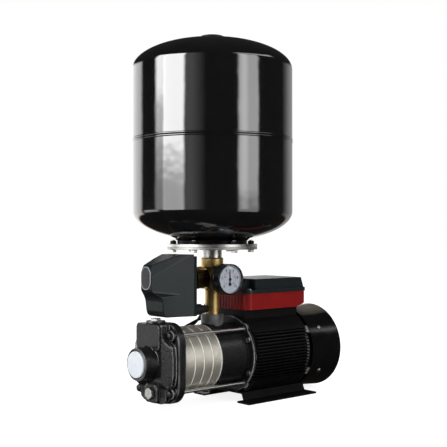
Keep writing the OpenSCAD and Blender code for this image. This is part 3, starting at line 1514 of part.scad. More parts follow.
// A tube swept along the lead's curve
module switch_lead() {
  rings = len(lead_path);
  points = [for (i = [0 : rings - 1])
    let (t = path_way(i), n = unit(cross(t, [0, 0, 1])), b = cross(n, t))
    for (k = [0 : lead_sides - 1]) let (a = k * 360 / lead_sides)
      lead_path[i] + lead_r * (cos(a) * n + sin(a) * b)];
  sides = [for (i = [0 : rings - 2], k = [0 : lead_sides - 1])
    let (m = (k + 1) % lead_sides, a = i * lead_sides + k, b = i * lead_sides + m,
      c = (i + 1) * lead_sides + m, d = (i + 1) * lead_sides + k)
    for (f = [[a, b, c], [a, c, d]]) f];
  last = (rings - 1) * lead_sides;
  color(black_paint) polyhedron(points, concat(sides,
    [for (k = [1 : lead_sides - 2]) [0, k + 1, k]],
    [for (k = [1 : lead_sides - 2]) [last, last + k, last + k + 1]]));
}

// Outline of the terminal box about its middle, grown by the given amount
module box_outline(grow) {
  translate([(box_x0 + box_x1) / 2, 0]) round_rect(box_l + 2 * grow, box_w + 2 * grow, box_round + grow);
}

lid_screw_places = [for (sx = [-1, 1], sy = [-1, 1])
  [(box_x0 + box_x1) / 2 + sx * (box_l / 2 - lid_screw_inset_x), sy * (box_half - lid_screw_inset_y)]];

// Red base of the terminal box
module terminal_box_base() {
  color(red_plastic) difference() {
    union() {
      difference() {
        translate([0, 0, box_z]) linear_extrude(box_base_h) box_outline(0);
        difference() {
          translate([0, 0, box_z + box_t]) linear_extrude(box_base_h) box_outline(-box_t);
          box_tail(box_t);
        }
      }
      for (p = lid_screw_places) translate([p[0], p[1], box_z + box_t / 2])
        cylinder(r = post_r, h = box_base_h - box_t / 2);
    }
    for (p = lid_screw_places) translate([p[0], p[1], box_top - lid_screw_in])
      cylinder(r = lid_screw_r + seat_gap, h = lid_screw_in + cut);
    translate([lead_hole_x, 0, box_z - cut]) cylinder(r = lead_hole_r, h = box_t + 2 * cut);
    box_tail(0);
  }
}

// The cut under the box's fan end, moved out by the given amount
module box_tail(out) {
  translate([0, box_w, 0]) rotate([90, 0, 0]) linear_extrude(2 * box_w) polygon([
    [box_x1 - tail_cut_l - out, box_z - cut], [box_x1 - tail_cut_l - out, box_z + out],
    [box_x1 + cut, box_z + tail_cut_h + out], [box_x1 + cut, box_z - cut]]);
}

// Lid's raised part: sloped ends, notched at both inlet-side corners for the screws
module lid_hump(in) {
  x0 = box_x0 + box_t / 2 + in;
  x1 = box_x1 - lid_end_slope / 2 - in;
  half = box_half - box_t / 2;
  translate([0, half - in, 0]) rotate([90, 0, 0]) linear_extrude(2 * (half - in)) polygon([
    [x0, box_top + (in > 0 ? -cut : 0)], [x0 + lid_end_slope / 2, lid_top - lid_top_back - in],
    [x0 + notch_l, lid_top - in], [x1 - lid_end_slope, lid_top - in], [x1, box_top + (in > 0 ? -cut : 0)]]);
}

// Dark lid of the terminal box
module terminal_box_lid() {
  color(dark_plastic) difference() {
    union() {
      translate([0, 0, box_top]) linear_extrude(lid_lip_h) box_outline(lid_over);
      difference() {
        lid_hump(0);
        for (s = [-1, 1]) translate([box_x0 - cut, s * box_half - notch_w, box_top + lid_lip_h])
          cube([notch_l + cut, 2 * notch_w, lid_h]);
      }
    }
    difference() {
      lid_hump(box_t);
      for (s = [-1, 1]) translate([box_x0 - cut, s * box_half - notch_w - box_t, box_top - cut])
        cube([notch_l + box_t + cut, 2 * (notch_w + box_t), lid_h]);
      for (p = lid_screw_places) translate([p[0], p[1], box_top - cut])
        cylinder(r = post_r + box_t / 2, h = lid_h);
    }
    for (p = lid_screw_places) translate([p[0], p[1], box_top]) {
      translate([0, 0, -cut]) cylinder(r = lid_screw_r + seat_gap, h = lid_h);
      translate([0, 0, lid_lip_h]) cylinder(r = lid_screw_head_r + free_gap, h = lid_h);
    }
  }
}

// Screws of the lid
module lid_screws() {
  color(zinc) for (p = lid_screw_places) translate([p[0], p[1], box_top + lid_lip_h]) {
    cylinder(r1 = lid_screw_head_r, r2 = lid_screw_head_r / 2, h = lid_screw_head_h);
    translate([0, 0, -lid_screw_in]) cylinder(r = lid_screw_r, h = lid_screw_in);
  }
}

base_plate();
frame_bolts();
motor_housing();
stator_core();
stator_windings();
motor_flange();
rear_shield();
fan_cover();
fan_cover_screws();
bearing_outer_races();
bearing_inner_sets();
motor_shaft();
rotor_core();
cooling_fan();
impellers();
seal_head();
seal_seat();
chamber_1();
chamber_2();
chamber_3();
chamber_4();
discharge_part();
inlet_part();
tie_rods();
inlet_cap();
priming_plug();
drain_plug();
outlet_adapter();
check_valve_disc();
check_valve_spring();
manifold();
nipple();
counter_flange();
clamp_ring();
flange_bolts();
tank_neck();
bladder();
tank_lower_shell();
tank_upper_shell();
air_valve_body();
air_valve_core();
air_valve_cap();
gauge_stem();
gauge_case();
gauge_dial();
gauge_glass();
gauge_pointer();
bourdon_tube();
switch_nut();
switch_base();
switch_cover();
switch_plunger();
range_spring();
contact_lever();
terminal_blocks();
cable_glands();
switch_lead();
terminal_box_base();
terminal_box_lid();
lid_screws();
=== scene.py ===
"""Looks of the automatic water pump.

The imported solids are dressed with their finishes, and the pieces that need a finer form are built here.
Sizes are in millimetres in the classes and become metres in the meshes. X runs along the shaft with the
inlet at -X, the gauge faces -Y, Z is up and the floor is z = 0.
"""
import logging
import math
from dataclasses import dataclass
from enum import Enum
from typing import Callable, Iterable, Sequence

import bmesh
import bpy
from mathutils import Matrix, Vector


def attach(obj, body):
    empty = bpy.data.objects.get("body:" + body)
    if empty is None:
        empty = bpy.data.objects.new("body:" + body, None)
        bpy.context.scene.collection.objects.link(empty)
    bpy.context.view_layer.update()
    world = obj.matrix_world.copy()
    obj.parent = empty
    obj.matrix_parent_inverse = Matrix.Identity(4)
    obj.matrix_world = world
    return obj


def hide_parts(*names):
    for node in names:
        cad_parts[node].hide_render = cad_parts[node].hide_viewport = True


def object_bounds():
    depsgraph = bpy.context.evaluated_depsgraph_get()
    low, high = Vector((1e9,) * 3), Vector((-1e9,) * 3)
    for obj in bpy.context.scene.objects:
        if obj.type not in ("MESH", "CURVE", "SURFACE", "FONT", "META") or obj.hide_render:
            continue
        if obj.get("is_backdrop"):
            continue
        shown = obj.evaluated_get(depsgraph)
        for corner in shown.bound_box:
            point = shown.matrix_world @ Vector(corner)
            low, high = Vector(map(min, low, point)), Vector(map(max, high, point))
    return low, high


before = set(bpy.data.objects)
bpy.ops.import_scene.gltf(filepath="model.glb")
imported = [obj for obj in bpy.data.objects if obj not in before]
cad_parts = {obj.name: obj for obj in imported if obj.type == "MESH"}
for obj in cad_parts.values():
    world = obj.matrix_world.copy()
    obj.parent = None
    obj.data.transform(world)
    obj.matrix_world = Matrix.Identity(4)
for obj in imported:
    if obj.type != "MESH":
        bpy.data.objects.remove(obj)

MM = 0.001
TINY = 1e-6
ITEM_MERGE = 1e-5
SOLID_MERGE = 2e-6
SOFT_DEG = 60.0
LOG = logging.getLogger("pump")
Colour = tuple[float, float, float]
Place = tuple[float, float, float]
Point = tuple[float, float]
Mesh = bpy.types.Mesh
Node = bpy.types.Node
Socket = bpy.types.NodeSocket
Piece = bpy.types.Object
Work = bmesh.types.BMesh
Ring = list[bmesh.types.BMVert]


class Grain(Enum):
    """Direction in which a metal surface is brushed or turned."""

    NONE = (1.0, 1.0, 1.0)
    AROUND_X = (60.0, 1.0, 1.0)
    AROUND_Z = (1.0, 1.0, 60.0)


class Layout(Enum):
    """Way in which a repeated item is laid out about its own Z axis."""

    RING = "ring"
    GRID = "grid"
    LINE = "line"


class Graph:
    """Builds the node tree of one material, world or pattern."""

    def __init__(self, tree: bpy.types.NodeTree) -> None:
        """Starts with an empty tree."""
        self.tree = tree
        tree.nodes.clear()

    def add(self, kind: str, inputs: dict[int | str, object] | None = None, **values: object) -> Node:
        """Adds a node.

        Args:
            kind: Blender's name of the node type.
            inputs: Constants for its inputs, or sockets to link them to.
            **values: Properties of the node, such as operation.

        Returns:
            The new node.
        """
        node = self.tree.nodes.new(kind)
        for key, value in values.items():
            setattr(node, key, value)
        for key, value in (inputs or {}).items():
            if isinstance(value, Socket):
                self.tree.links.new(value, node.inputs[key])
            else:
                node.inputs[key].default_value = value
        return node

    def math(self, operation: str, *values: object) -> Socket:
        """Result of a math node on numbers or sockets."""
        return self.add("ShaderNodeMath", dict(enumerate(values)), operation=operation).outputs[0]

    def noise(self, scale: float, detail: float = 3.0, stretch: Sequence[float] = (1, 1, 1)) -> Socket:
        """Adds noise on Object coordinates.

        Args:
            scale: Waves per metre.
            detail: Octaves.
            stretch: Factor on each axis.

        Returns:
            The noise's factor.
        """
        spot = self.add("ShaderNodeTexCoord").outputs["Object"]
        mapped = self.add("ShaderNodeMapping", {"Vector": spot, "Scale": tuple(stretch)}).outputs["Vector"]
        texture = self.add("ShaderNodeTexNoise", {"Vector": mapped, "Scale": scale, "Detail": detail})
        return texture.outputs["Fac"]

    def ramp(self, source: Socket, span: Point, result: Point = (0.0, 1.0)) -> Socket:
        """Maps a value from one range to another, limited to the second.

        Args:
            source: The value.
            span: Its range.
            result: The new range.

        Returns:
            The mapped value.
        """
        keys = ("Value", "From Min", "From Max", "To Min", "To Max")
        node = self.add("ShaderNodeMapRange", dict(zip(keys, (source, *span, *result))))
        return node.outputs["Result"]

    def mix(self, factor: Socket, first: Socket | Colour, second: Colour) -> Socket:
        """Mixes two colours, the first of which may come from another node.

        Args:
            factor: Share of the second colour.
            first: The first colour.
            second: The second colour.

        Returns:
            The mixed colour.
        """
        base = first if isinstance(first, Socket) else (*first, 1.0)
        node = self.add("ShaderNodeMix", {0: factor, 6: base, 7: (*second, 1.0)}, data_type="RGBA")
        return node.outputs[2]


def surfaced(name: str, shade: Callable[[Graph], Socket]) -> bpy.types.Material:
    """Builds a material, or returns the one already built.

    Args:
        name: Name of the material.
        shade: Adds its nodes to a graph and returns the shader's socket.

    Returns:
        The material.
    """
    found = bpy.data.materials.get(name)
    if found is not None:
        return found
    material = bpy.data.materials.new(name)
    material.use_nodes = True
    graph = Graph(material.node_tree)
    graph.add("ShaderNodeOutputMaterial", {"Surface": shade(graph)})
    return material


def tinted(colour: Colour, factor: float) -> Colour:
    """A colour made lighter or darker by a factor."""
    return tuple(min(c * factor, 1.0) for c in colour)


@dataclass(frozen=True)
class Finish:
    """A surface finish with its own mottle, bump and roughness.

    The capital pairs are ranges of noise, pointiness or upward slope over which an effect sets in, and
    its shares at their ends.

    Attributes:
        name: Name of the material.
        colour: Linear base colour.
        roughness: Middle roughness.
        metal: 1 for bare metal.
        specular: Specular level of a paint or plastic.
        coat: Weight of a clear coat.
        coat_ior: Refractive index of the coat.
        mottle: Share by which the colour varies over broad patches.
        patch: Waves of the mottle per metre.
        bump: Depth of the surface's unevenness in millimetres.
        pitch: Waves of the unevenness per metre.
        fine: Depth of a second, finer unevenness in millimetres.
        fine_pitch: Waves of the finer one per metre.
        grain: Direction of brushing.
        edge_highlight: Colour of a painted highlight on sharp edges, laid in patches, or None.
        spread: Anisotropy of a surface turned about X.
        top_sheen: Colour of a painted sheen on its upward faces, standing in for reflected light, or None.
    """

    name: str
    colour: Colour
    roughness: float
    metal: float = 0.0
    specular: float = 0.5
    coat: float = 0.0
    coat_ior: float = 1.5
    mottle: float = 0.12
    patch: float = 40.0
    bump: float = 0.0
    pitch: float = 400.0
    fine: float = 0.0
    fine_pitch: float = 2500.0
    grain: Grain = Grain.NONE
    edge_highlight: Colour | None = None
    spread: float = 0.0
    top_sheen: Colour | None = None

    MOTTLE = (0.3, 0.7)
    EDGE, EDGE_SHARE = (0.51, 0.57), (0.0, 0.8)
    WEAR, WEAR_SHARE = (0.35, 0.6), (0.3, 1.0)
    UPWARD, FILM_SHARE = (0.8, 0.99), (0.7, 1.0)
    STREAK, STREAK_SHARE = (0.25, 0.75), (0.8, 1.25)
    LEAST_ROUGHNESS = 0.02
    COAT_ROUGHNESS = 0.04
    QUARTER_TURN = 0.25
    BRUSH_PITCH = 18.0
    OCTAVES = 4.0

    def make(self) -> bpy.types.Material:
        """The material of the finish."""
        return surfaced(self.name, self.shade)

    def tint(self, graph: Graph) -> Socket:
        """Adds the mottled base colour with its painted edge highlights and painted top sheen.

        Args:
            graph: The material's graph.

        Returns:
            The colour's socket.
        """
        broad = graph.noise(self.patch, self.OCTAVES)
        shades = (tinted(self.colour, 1 - self.mottle), tinted(self.colour, 1 + self.mottle))
        colour = graph.mix(graph.ramp(broad, self.MOTTLE), *shades)
        # Painted highlight: sharp edges, found by pointiness, are lightened in patches to stand in for glints
        # of light on them.
        if self.edge_highlight is not None:
            sharp = graph.add("ShaderNodeNewGeometry").outputs["Pointiness"]
            highlight_patches = graph.ramp(broad, self.WEAR, self.WEAR_SHARE)
            painted_highlight = graph.math("MULTIPLY", graph.ramp(sharp, self.EDGE, self.EDGE_SHARE), highlight_patches)
            colour = graph.mix(painted_highlight, colour, self.edge_highlight)
        # Painted reflection: upward faces are lightened towards a warm grey sheen that stands in for the
        # room's reflected light.
        if self.top_sheen is not None:
            facing = graph.add("ShaderNodeNewGeometry").outputs["Normal"]
            upward = graph.add("ShaderNodeSeparateXYZ", {0: facing}).outputs["Z"]
            sheen_patches = graph.ramp(broad, self.MOTTLE, self.FILM_SHARE)
            sheen = graph.math("MULTIPLY", graph.ramp(upward, self.UPWARD), sheen_patches)
            colour = graph.mix(sheen, colour, self.top_sheen)
        return colour

    def relief(self, graph: Graph) -> Socket | None:
        """Adds the coarse and the fine unevenness.

        Args:
            graph: The material's graph.

        Returns:
            The normal's socket, or None on a smooth finish.
        """
        normal = None
        for depth, pitch in ((self.bump, self.pitch), (self.fine, self.fine_pitch)):
            if depth > 0:
                height = graph.noise(pitch, stretch=self.grain.value)
                inputs = {"Strength": 1.0, "Distance": depth * MM, "Height": height}
                if normal is not None:
                    inputs["Normal"] = normal
                normal = graph.add("ShaderNodeBump", inputs).outputs["Normal"]
        return normal

    def shade(self, graph: Graph) -> Socket:
        """Adds the nodes of the finish.

        Args:
            graph: The material's graph.

        Returns:
            The shader's socket.
        """
        pitch = self.pitch if self.grain is Grain.NONE else self.BRUSH_PITCH
        streaks = graph.noise(pitch, self.OCTAVES, self.grain.value)
        low, high = (self.roughness * share for share in self.STREAK_SHARE)
        inputs = {
            "Base Color": self.tint(graph),
            "Roughness": graph.ramp(streaks, self.STREAK, (max(low, self.LEAST_ROUGHNESS), min(high, 1.0))),
            "Metallic": self.metal,
            "Specular IOR Level": self.specular,
            "Coat Weight": self.coat,
            "Coat IOR": self.coat_ior,
            "Coat Roughness": self.COAT_ROUGHNESS,
        }
        if self.spread > 0:
            inputs["Anisotropic"] = self.spread
            inputs["Anisotropic Rotation"] = self.QUARTER_TURN
            around = graph.add("ShaderNodeTangent", direction_type="RADIAL", axis="X")
            inputs["Tangent"] = around.outputs[0]
        normal = self.relief(graph)
        if normal is not None:
            inputs["Normal"] = normal
            if self.coat > 0:
                inputs["Coat Normal"] = normal
        return graph.add("ShaderNodeBsdfPrincipled", inputs).outputs[0]


@dataclass(frozen=True)
class GlassFinish:
    """Clear flat glass with a faint smear in its roughness."""

    name: str = "gauge glass"
    colour: Colour = (0.97, 0.99, 1.0)
    ior: float = 1.3
    roughness: float = 0.02
    smear_pitch: float = 60.0
    smear: Point = (0.4, 0.8)

    def make(self) -> bpy.types.Material:
        """The material of the glass."""
        return surfaced(self.name, self.shade)

    def shade(self, graph: Graph) -> Socket:
        """Adds the nodes of the glass.

        Args:
            graph: The material's graph.

        Returns:
            The shader's socket.
        """
        rough = graph.ramp(graph.noise(self.smear_pitch), self.smear, (0.0, self.roughness))
        clear = {"Base Color": (*self.colour, 1.0), "Transmission Weight": 1.0, "IOR": self.ior}
        return graph.add("ShaderNodeBsdfPrincipled", {**clear, "Roughness": rough}).outputs[0]


class Palette:
    """All finishes of the pump."""

    tank = Finish("tank enamel", (0.003, 0.003, 0.0034), 0.1, specular=0.9, coat=1.0, coat_ior=1.75,
                  mottle=0.2, bump=0.7, pitch=11, fine=0.0025, fine_pitch=700)
    motor = Finish("motor paint", (0.0036, 0.0036, 0.004), 0.42, specular=0.16, mottle=0.2,
                   bump=0.03, pitch=500, fine=0.01, fine_pitch=2200)
    # Its top sheen is a painted reflection of warm light on the cover's upper side.
    cover = Finish("fan cover paint", (0.003, 0.0029, 0.003), 0.16, specular=0.4, mottle=0.2,
                   bump=0.01, pitch=260, top_sheen=(0.16, 0.14, 0.12))
    sheet = Finish("foot paint", (0.0036, 0.0036, 0.0044), 0.34, specular=0.1, mottle=0.2, bump=0.015,
                   pitch=300)
    # Its edge colour paints highlights on the casting's sharp edges.
    cast = Finish("cast iron paint", (0.006, 0.006, 0.0067), 0.3, specular=0.65, mottle=0.25, patch=70,
                  bump=0.2, pitch=330, fine=0.05, fine_pitch=1300, edge_highlight=(0.3, 0.3, 0.305))
    # Its brighter edge colour paints the highlight along the flange's edge.
    flange = Finish("flange paint", (0.005, 0.005, 0.0055), 0.36, specular=0.35, mottle=0.25, patch=70,
                    bump=0.12, pitch=330, fine=0.03, fine_pitch=1300, edge_highlight=(0.5, 0.5, 0.5))
    stage = Finish("brushed stainless", (0.84, 0.8, 0.71), 0.5, metal=0.85, mottle=0.07, patch=25,
                   bump=0.002, pitch=60, grain=Grain.AROUND_X, spread=0.8)
    # A pale, mostly non-metal finish that paints the bright highlight along the chambers' rolled joints.
    bead = Finish("bead highlight paint", (0.8, 0.78, 0.72), 0.5, metal=0.15, mottle=0.1, patch=60, bump=0.002,
                  pitch=200)
    steel = Finish("machined steel", (0.5, 0.5, 0.5), 0.3, metal=1.0, mottle=0.1, bump=0.003, pitch=60,
                   grain=Grain.AROUND_X)
    # The same steel as the turned steel, made darker to paint the shade on the counter flange.
    shaded_steel = Finish("plate steel", (0.66, 0.65, 0.63), 0.46, metal=1.0, bump=0.004, pitch=60,
                         grain=Grain.AROUND_Z)
    upright_steel = Finish("turned steel", (0.92, 0.91, 0.88), 0.36, metal=1.0, mottle=0.1,
                           bump=0.004, pitch=60, grain=Grain.AROUND_Z)
    zinc = Finish("zinc plate", (0.72, 0.72, 0.71), 0.38, metal=1.0, mottle=0.15, patch=200, bump=0.01,
                  pitch=900)
    rod = Finish("bright rod", (0.72, 0.72, 0.71), 0.42, metal=1.0, mottle=0.06, bump=0.001, pitch=200,
                 spread=0.8)
    dark_zinc = Finish("dark zinc", (0.06, 0.06, 0.06), 0.4, metal=1.0, mottle=0.2, patch=200,
                       bump=0.01, pitch=900)
    brass = Finish("cast brass", (0.8, 0.57, 0.225), 0.42, metal=1.0, mottle=0.2, patch=60,
                   bump=0.05, pitch=300, fine=0.01, fine_pitch=1500)
    turned_brass = Finish("turned brass", (0.5, 0.34, 0.12), 0.26, metal=1.0, mottle=0.15, patch=90,
                          bump=0.005, pitch=60, grain=Grain.AROUND_X)
    # Brass darkened to paint the shade on the union nut and the dark surroundings that it reflects.
    shaded_brass = Finish("shade-darkened brass", (0.12, 0.08, 0.035), 0.36, metal=1.0, mottle=0.3, patch=160,
                        bump=0.005, pitch=60, grain=Grain.AROUND_X)
    nose = Finish("switch nose", (0.03, 0.03, 0.035), 0.4, mottle=0.15, bump=0.01, pitch=1600)
    rim = Finish("switch rim", (0.3, 0.31, 0.32), 0.35, mottle=0.2)
    switch = Finish("switch plastic", (0.0085, 0.0124, 0.0128), 0.27, specular=0.36, mottle=0.08,
                    bump=0.008, pitch=1600)
    lid = Finish("lid plastic", (0.009, 0.0125, 0.0135), 0.28, specular=0.45, mottle=0.08, bump=0.008,
                 pitch=1500)
    red = Finish("red plastic", (0.17, 0.0036, 0.0036), 0.33, specular=0.25, mottle=0.1, bump=0.008,
                 pitch=1500)
    black = Finish("black plastic", (0.008, 0.008, 0.0086), 0.4, specular=0.4, bump=0.01, pitch=1500)
    case = Finish("gauge case", (0.005, 0.005, 0.0058), 0.22, mottle=0.1, bump=0.004, pitch=700)
    white = Finish("white plastic", (0.69, 0.735, 0.78), 0.3, mottle=0.03, bump=0.02, pitch=200)
    cream = Finish("cream plastic", (0.62, 0.58, 0.46), 0.4, mottle=0.05, bump=0.01)
    dial = Finish("dial enamel", (0.48, 0.5, 0.555), 0.5, mottle=0.05, bump=0.003, pitch=900)
    ink = Finish("dial ink", (0.012, 0.014, 0.02), 0.5, mottle=0.1)
    red_ink = Finish("dial red ink", (0.3, 0.06, 0.07), 0.5, mottle=0.1)
    pointer = Finish("pointer black", (0.006, 0.006, 0.006), 0.4, specular=0.2, mottle=0.1)
    rubber = Finish("black rubber", (0.007, 0.007, 0.007), 0.55, specular=0.3, mottle=0.15, bump=0.02,
                    pitch=700)
    copper = Finish("winding copper", (0.5, 0.2, 0.07), 0.35, metal=0.8, mottle=0.3, patch=200,
                    bump=0.25, pitch=700)
    carbon = Finish("seal carbon", (0.03, 0.03, 0.03), 0.3, mottle=0.15, bump=0.005)
    ceramic = Finish("seal ceramic", (0.7, 0.68, 0.6), 0.2, mottle=0.05, bump=0.002)
    lamination = Finish("lamination steel", (0.35, 0.35, 0.36), 0.35, metal=1.0, mottle=0.1,
                        bump=0.08, pitch=30, grain=Grain.AROUND_X)
    glass = GlassFinish()


def place(at: Sequence[float], out: Sequence[float] = (0, 0, 1), up: Sequence[float] = (0, 1, 0)) -> Matrix:
    """A matrix that puts a piece at a place with its local Z along out.

    Args:
        at: Origin in millimetres.
        out: Direction of local Z.
        up: Direction near which local Y lies, not along out.

    Returns:
        The matrix, in metres.
    """
    z = Vector(out).normalized()
    x = Vector(up).cross(z).normalized()
    turn = Matrix((x, z.cross(x), z)).transposed().to_4x4()
    return Matrix.Translation(Vector(at) * MM) @ turn @ Matrix.Scale(MM, 4)


def along_x(x: float, z: float, way: int = 1) -> Matrix:
    """Place on the middle plane with local Z towards +X, or -X where way is -1, and local Y up."""
    return place((x, 0, z), (way, 0, 0), (0, 0, 1))


def linked(name: str, mesh: Mesh) -> Piece:
    """Makes an object of a mesh and links it to the scene.

    Args:
        name: Name of the object.
        mesh: The mesh.

    Returns:
        The object.
    """
    piece = bpy.data.objects.new(name, mesh)
    bpy.context.scene.collection.objects.link(piece)
    return piece


def mesh_of(name: str, work: Work) -> Mesh:
    """Turns a bmesh into a mesh and frees it.

    Args:
        name: Name of the mesh.
        work: The bmesh.

    Returns:
        The mesh.
    """
    mesh = bpy.data.meshes.new(name)
    work.to_mesh(mesh)
    work.free()
    return mesh


def cleaned(work: Work) -> Work:
    """Merges doubles and turns the faces outwards.

    Args:
        work: The bmesh.

    Returns:
        The same bmesh.
    """
    bmesh.ops.remove_doubles(work, verts=work.verts, dist=ITEM_MERGE)
    bmesh.ops.recalc_face_normals(work, faces=work.faces)
    return work


def finished(name: str, mesh: Mesh, finish: Finish | GlassFinish, angle: float | None = 32.0) -> Piece:
    """Makes an object of a mesh, smooth but for its sharp edges.

    Args:
        name: Name of the object.
        mesh: The mesh, in place.
        finish: Its finish.
        angle: Angle in degrees above which an edge stays sharp, or None where the mesh has its own normals.

    Returns:
        The object.
    """
    mesh.materials.clear()
    mesh.materials.append(finish.make())
    if angle is not None:
        mesh.shade_smooth()
        mesh.set_sharp_from_angle(angle=math.radians(angle))
    mesh.update()
    return linked(name, mesh)


def closed(name: str, work: Work, matrix: Matrix, finish: Finish) -> Piece:
    """Cleans a bmesh, puts it in place and dresses it.

    Args:
        name: Name of the piece.
        work: The bmesh, which is freed.
        matrix: Place of the piece.
        finish: Its finish.

    Returns:
        The piece.
    """
    mesh = mesh_of(name, cleaned(work))
    mesh.transform(matrix)
    return finished(name, mesh, finish)


def settled(piece: Piece, slot: str, *nodes: str, body: str = "pump") -> None:
    """Lets a piece ride on its body and hides the solids that it stands for.

    Args:
        piece: The piece.
        slot: Its slot; not used.
        *nodes: Names of the solids that it replaces.
        body: Name of its body.
    """
    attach(piece, body)
    if nodes:
        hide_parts(*nodes)
    LOG.info("%s: %d faces", piece.name, len(piece.data.polygons))


def filleted(points: Sequence[Point], radius: float, steps: int = 4) -> list[Point]:
    """Rounds the corners of a closed outline.

    Args:
        points: Corners of the outline.
        radius: Radius of the rounding, limited by the sides.
        steps: Points on each corner.

    Returns:
        The rounded outline.
    """
    flat_turn, side_share = math.radians(172), 0.45
    rounded_points: list[Point] = []
    for i, here in enumerate(map(Vector, points)):
        back, on = Vector(points[i - 1]) - here, Vector(points[(i + 1) % len(points)]) - here
        if min(back.length, on.length) < TINY or here.x <= 0 or back.angle(on) > flat_turn:
            rounded_points.append(tuple(here))
            continue
        run = min(radius / math.tan(back.angle(on) / 2), back.length * side_share, on.length * side_share)
        first, last = here + back.normalized() * run, here + on.normalized() * run
        for t in (k / steps for k in range(steps + 1)):
            rounded_points.append(tuple(first.lerp(here, t).lerp(here.lerp(last, t), t)))
    return rounded_points


def supported(outline: Sequence[Point], margin: float = 0.7) -> list[Point]:
    """Adds points near both ends of the long sides of a closed outline, so that they shade flat.

    Args:
        outline: Points of radius and height.
        margin: Distance of the added points from the corners.

    Returns:
        The outline with its added points.
    """
    held: list[Point] = []
    for here, there in zip(outline, list(outline[1:]) + [outline[0]]):
        held.append(tuple(here))
        side = Vector(there) - Vector(here)
        if side.length > 4 * margin:
            held.append(tuple(Vector(here) + side.normalized() * margin))
            held.append(tuple(Vector(there) - side.normalized() * margin))
    return held


def lathe(name: str, outline: Sequence[Point], matrix: Matrix, finish: Finish, segments: int = 128) -> Piece:
    """Turns a closed outline about local Z.

    Args:
        name: Name of the object.
        outline: Points of radius and height.
        matrix: Place of the piece.
        finish: Its finish.
        segments: Divisions round the axis.

    Returns:
        The turned piece.
    """
    work = bmesh.new()
    add_turned(work, supported(outline), segments, ring=True)
    return closed(name, work, matrix, finish)


def evaluated(piece: Piece) -> Mesh:
    """The mesh of a piece with its modifiers applied."""
    graph = bpy.context.evaluated_depsgraph_get()
    return bpy.data.meshes.new_from_object(piece.evaluated_get(graph), depsgraph=graph)


def solid_work(node: str) -> Work:
    """Copies a solid's loose triangles and merges them.

    Args:
        node: Name of the solid.

    Returns:
        The copy.
    """
    work = bmesh.new()
    work.from_mesh(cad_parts[node].data)
    bmesh.ops.remove_doubles(work, verts=work.verts, dist=SOLID_MERGE)
    return work


def merged_copy(node: str, name: str, flat: float) -> Piece:
    """Copies a solid with its triangles joined to whole faces.

    Args:
        node: Name of the solid.
        name: Name of the copy.
        flat: Angle in degrees under which faces count as one.

    Returns:
        The copy, not yet dressed.
    """
    work, turn = solid_work(node), math.radians(flat)
    bmesh.ops.dissolve_limit(
        work, angle_limit=turn, verts=work.verts, edges=work.edges, use_dissolve_boundaries=False
    )
    return linked(name, mesh_of(name, work))


def rounded(
    piece: Piece, name: str, width: float, finish: Finish, steps: int, angle: float, wall: float = 0.0
) -> Piece:
    """Rounds a piece's edges, gives it a wall if asked, and replaces it with the result.

    Args:
        piece: The piece, which is removed.
        name: Name of the result.
        width: Width of the rounding in millimetres.
        finish: Its finish.
        steps: Segments of the rounding.
        angle: Least angle in degrees of an edge that is rounded.
        wall: Thickness of the wall inside an open shell in millimetres.

    Returns:
        The rounded piece.
    """
    piece.data.shade_smooth()
    piece.data.set_sharp_from_angle(angle=math.radians(angle))
    bevel = piece.modifiers.new("Edges", "BEVEL")
    bevel.width = width * MM
    bevel.segments = steps
    bevel.limit_method = "ANGLE"
    bevel.angle_limit = math.radians(angle)
    bevel.use_clamp_overlap = True
    bevel.miter_outer = "MITER_ARC"
    if wall > 0:
        shell = piece.modifiers.new("Wall", "SOLIDIFY")
        shell.thickness = wall * MM
        shell.offset = -1.0
    weigh = piece.modifiers.new("Normals", "WEIGHTED_NORMAL")
    weigh.weight = 50
    weigh.keep_sharp = True
    mesh = evaluated(piece)
    bpy.data.objects.remove(piece)
    return finished(name, mesh, finish, None)


def eased(
    node: str, slot: str, finish: Finish, width: float,
    steps: int = 2, angle: float = 28.0, flat: float = 2.0, body: str = "pump",
) -> None:
    """Puts a copy with rounded edges in the place of a solid.

    Args:
        node: Name of the solid.
        slot: Slot of the copy.
        finish: Its finish.
        width: Width of the rounding in millimetres.
        steps: Segments of the rounding.
        angle: Least angle in degrees of an edge that is rounded.
        flat: Angle in degrees under which faces count as one.
        body: Name of its body.
    """
    piece = merged_copy(node, node + "_eased", flat)
    settled(rounded(piece, node + "_form", width, finish, steps, angle), slot, node, body=body)


def cast(node: str, slot: str, finish: Finish, voxel: float, rounds: int) -> None:
    """Puts a copy with the soft edges and fillets of a casting in the place of a solid.

    Args:
        node: Name of the solid.
        slot: Slot of the copy.
        finish: Its finish.
        voxel: Size of its grid in millimetres.
        rounds: Rounds of smoothing.
    """
    piece = linked(node + "_raw", mesh_of(node + "_raw", solid_work(node)))
    grid = piece.modifiers.new("Grid", "REMESH")
    grid.mode = "VOXEL"
    grid.voxel_size = voxel * MM
    soften = piece.modifiers.new("Soften", "SMOOTH")
    soften.factor = 0.5
    soften.iterations = rounds
    mesh = evaluated(piece)
    bpy.data.objects.remove(piece)
    settled(finished(node + "_form", mesh, finish, SOFT_DEG), slot, node)


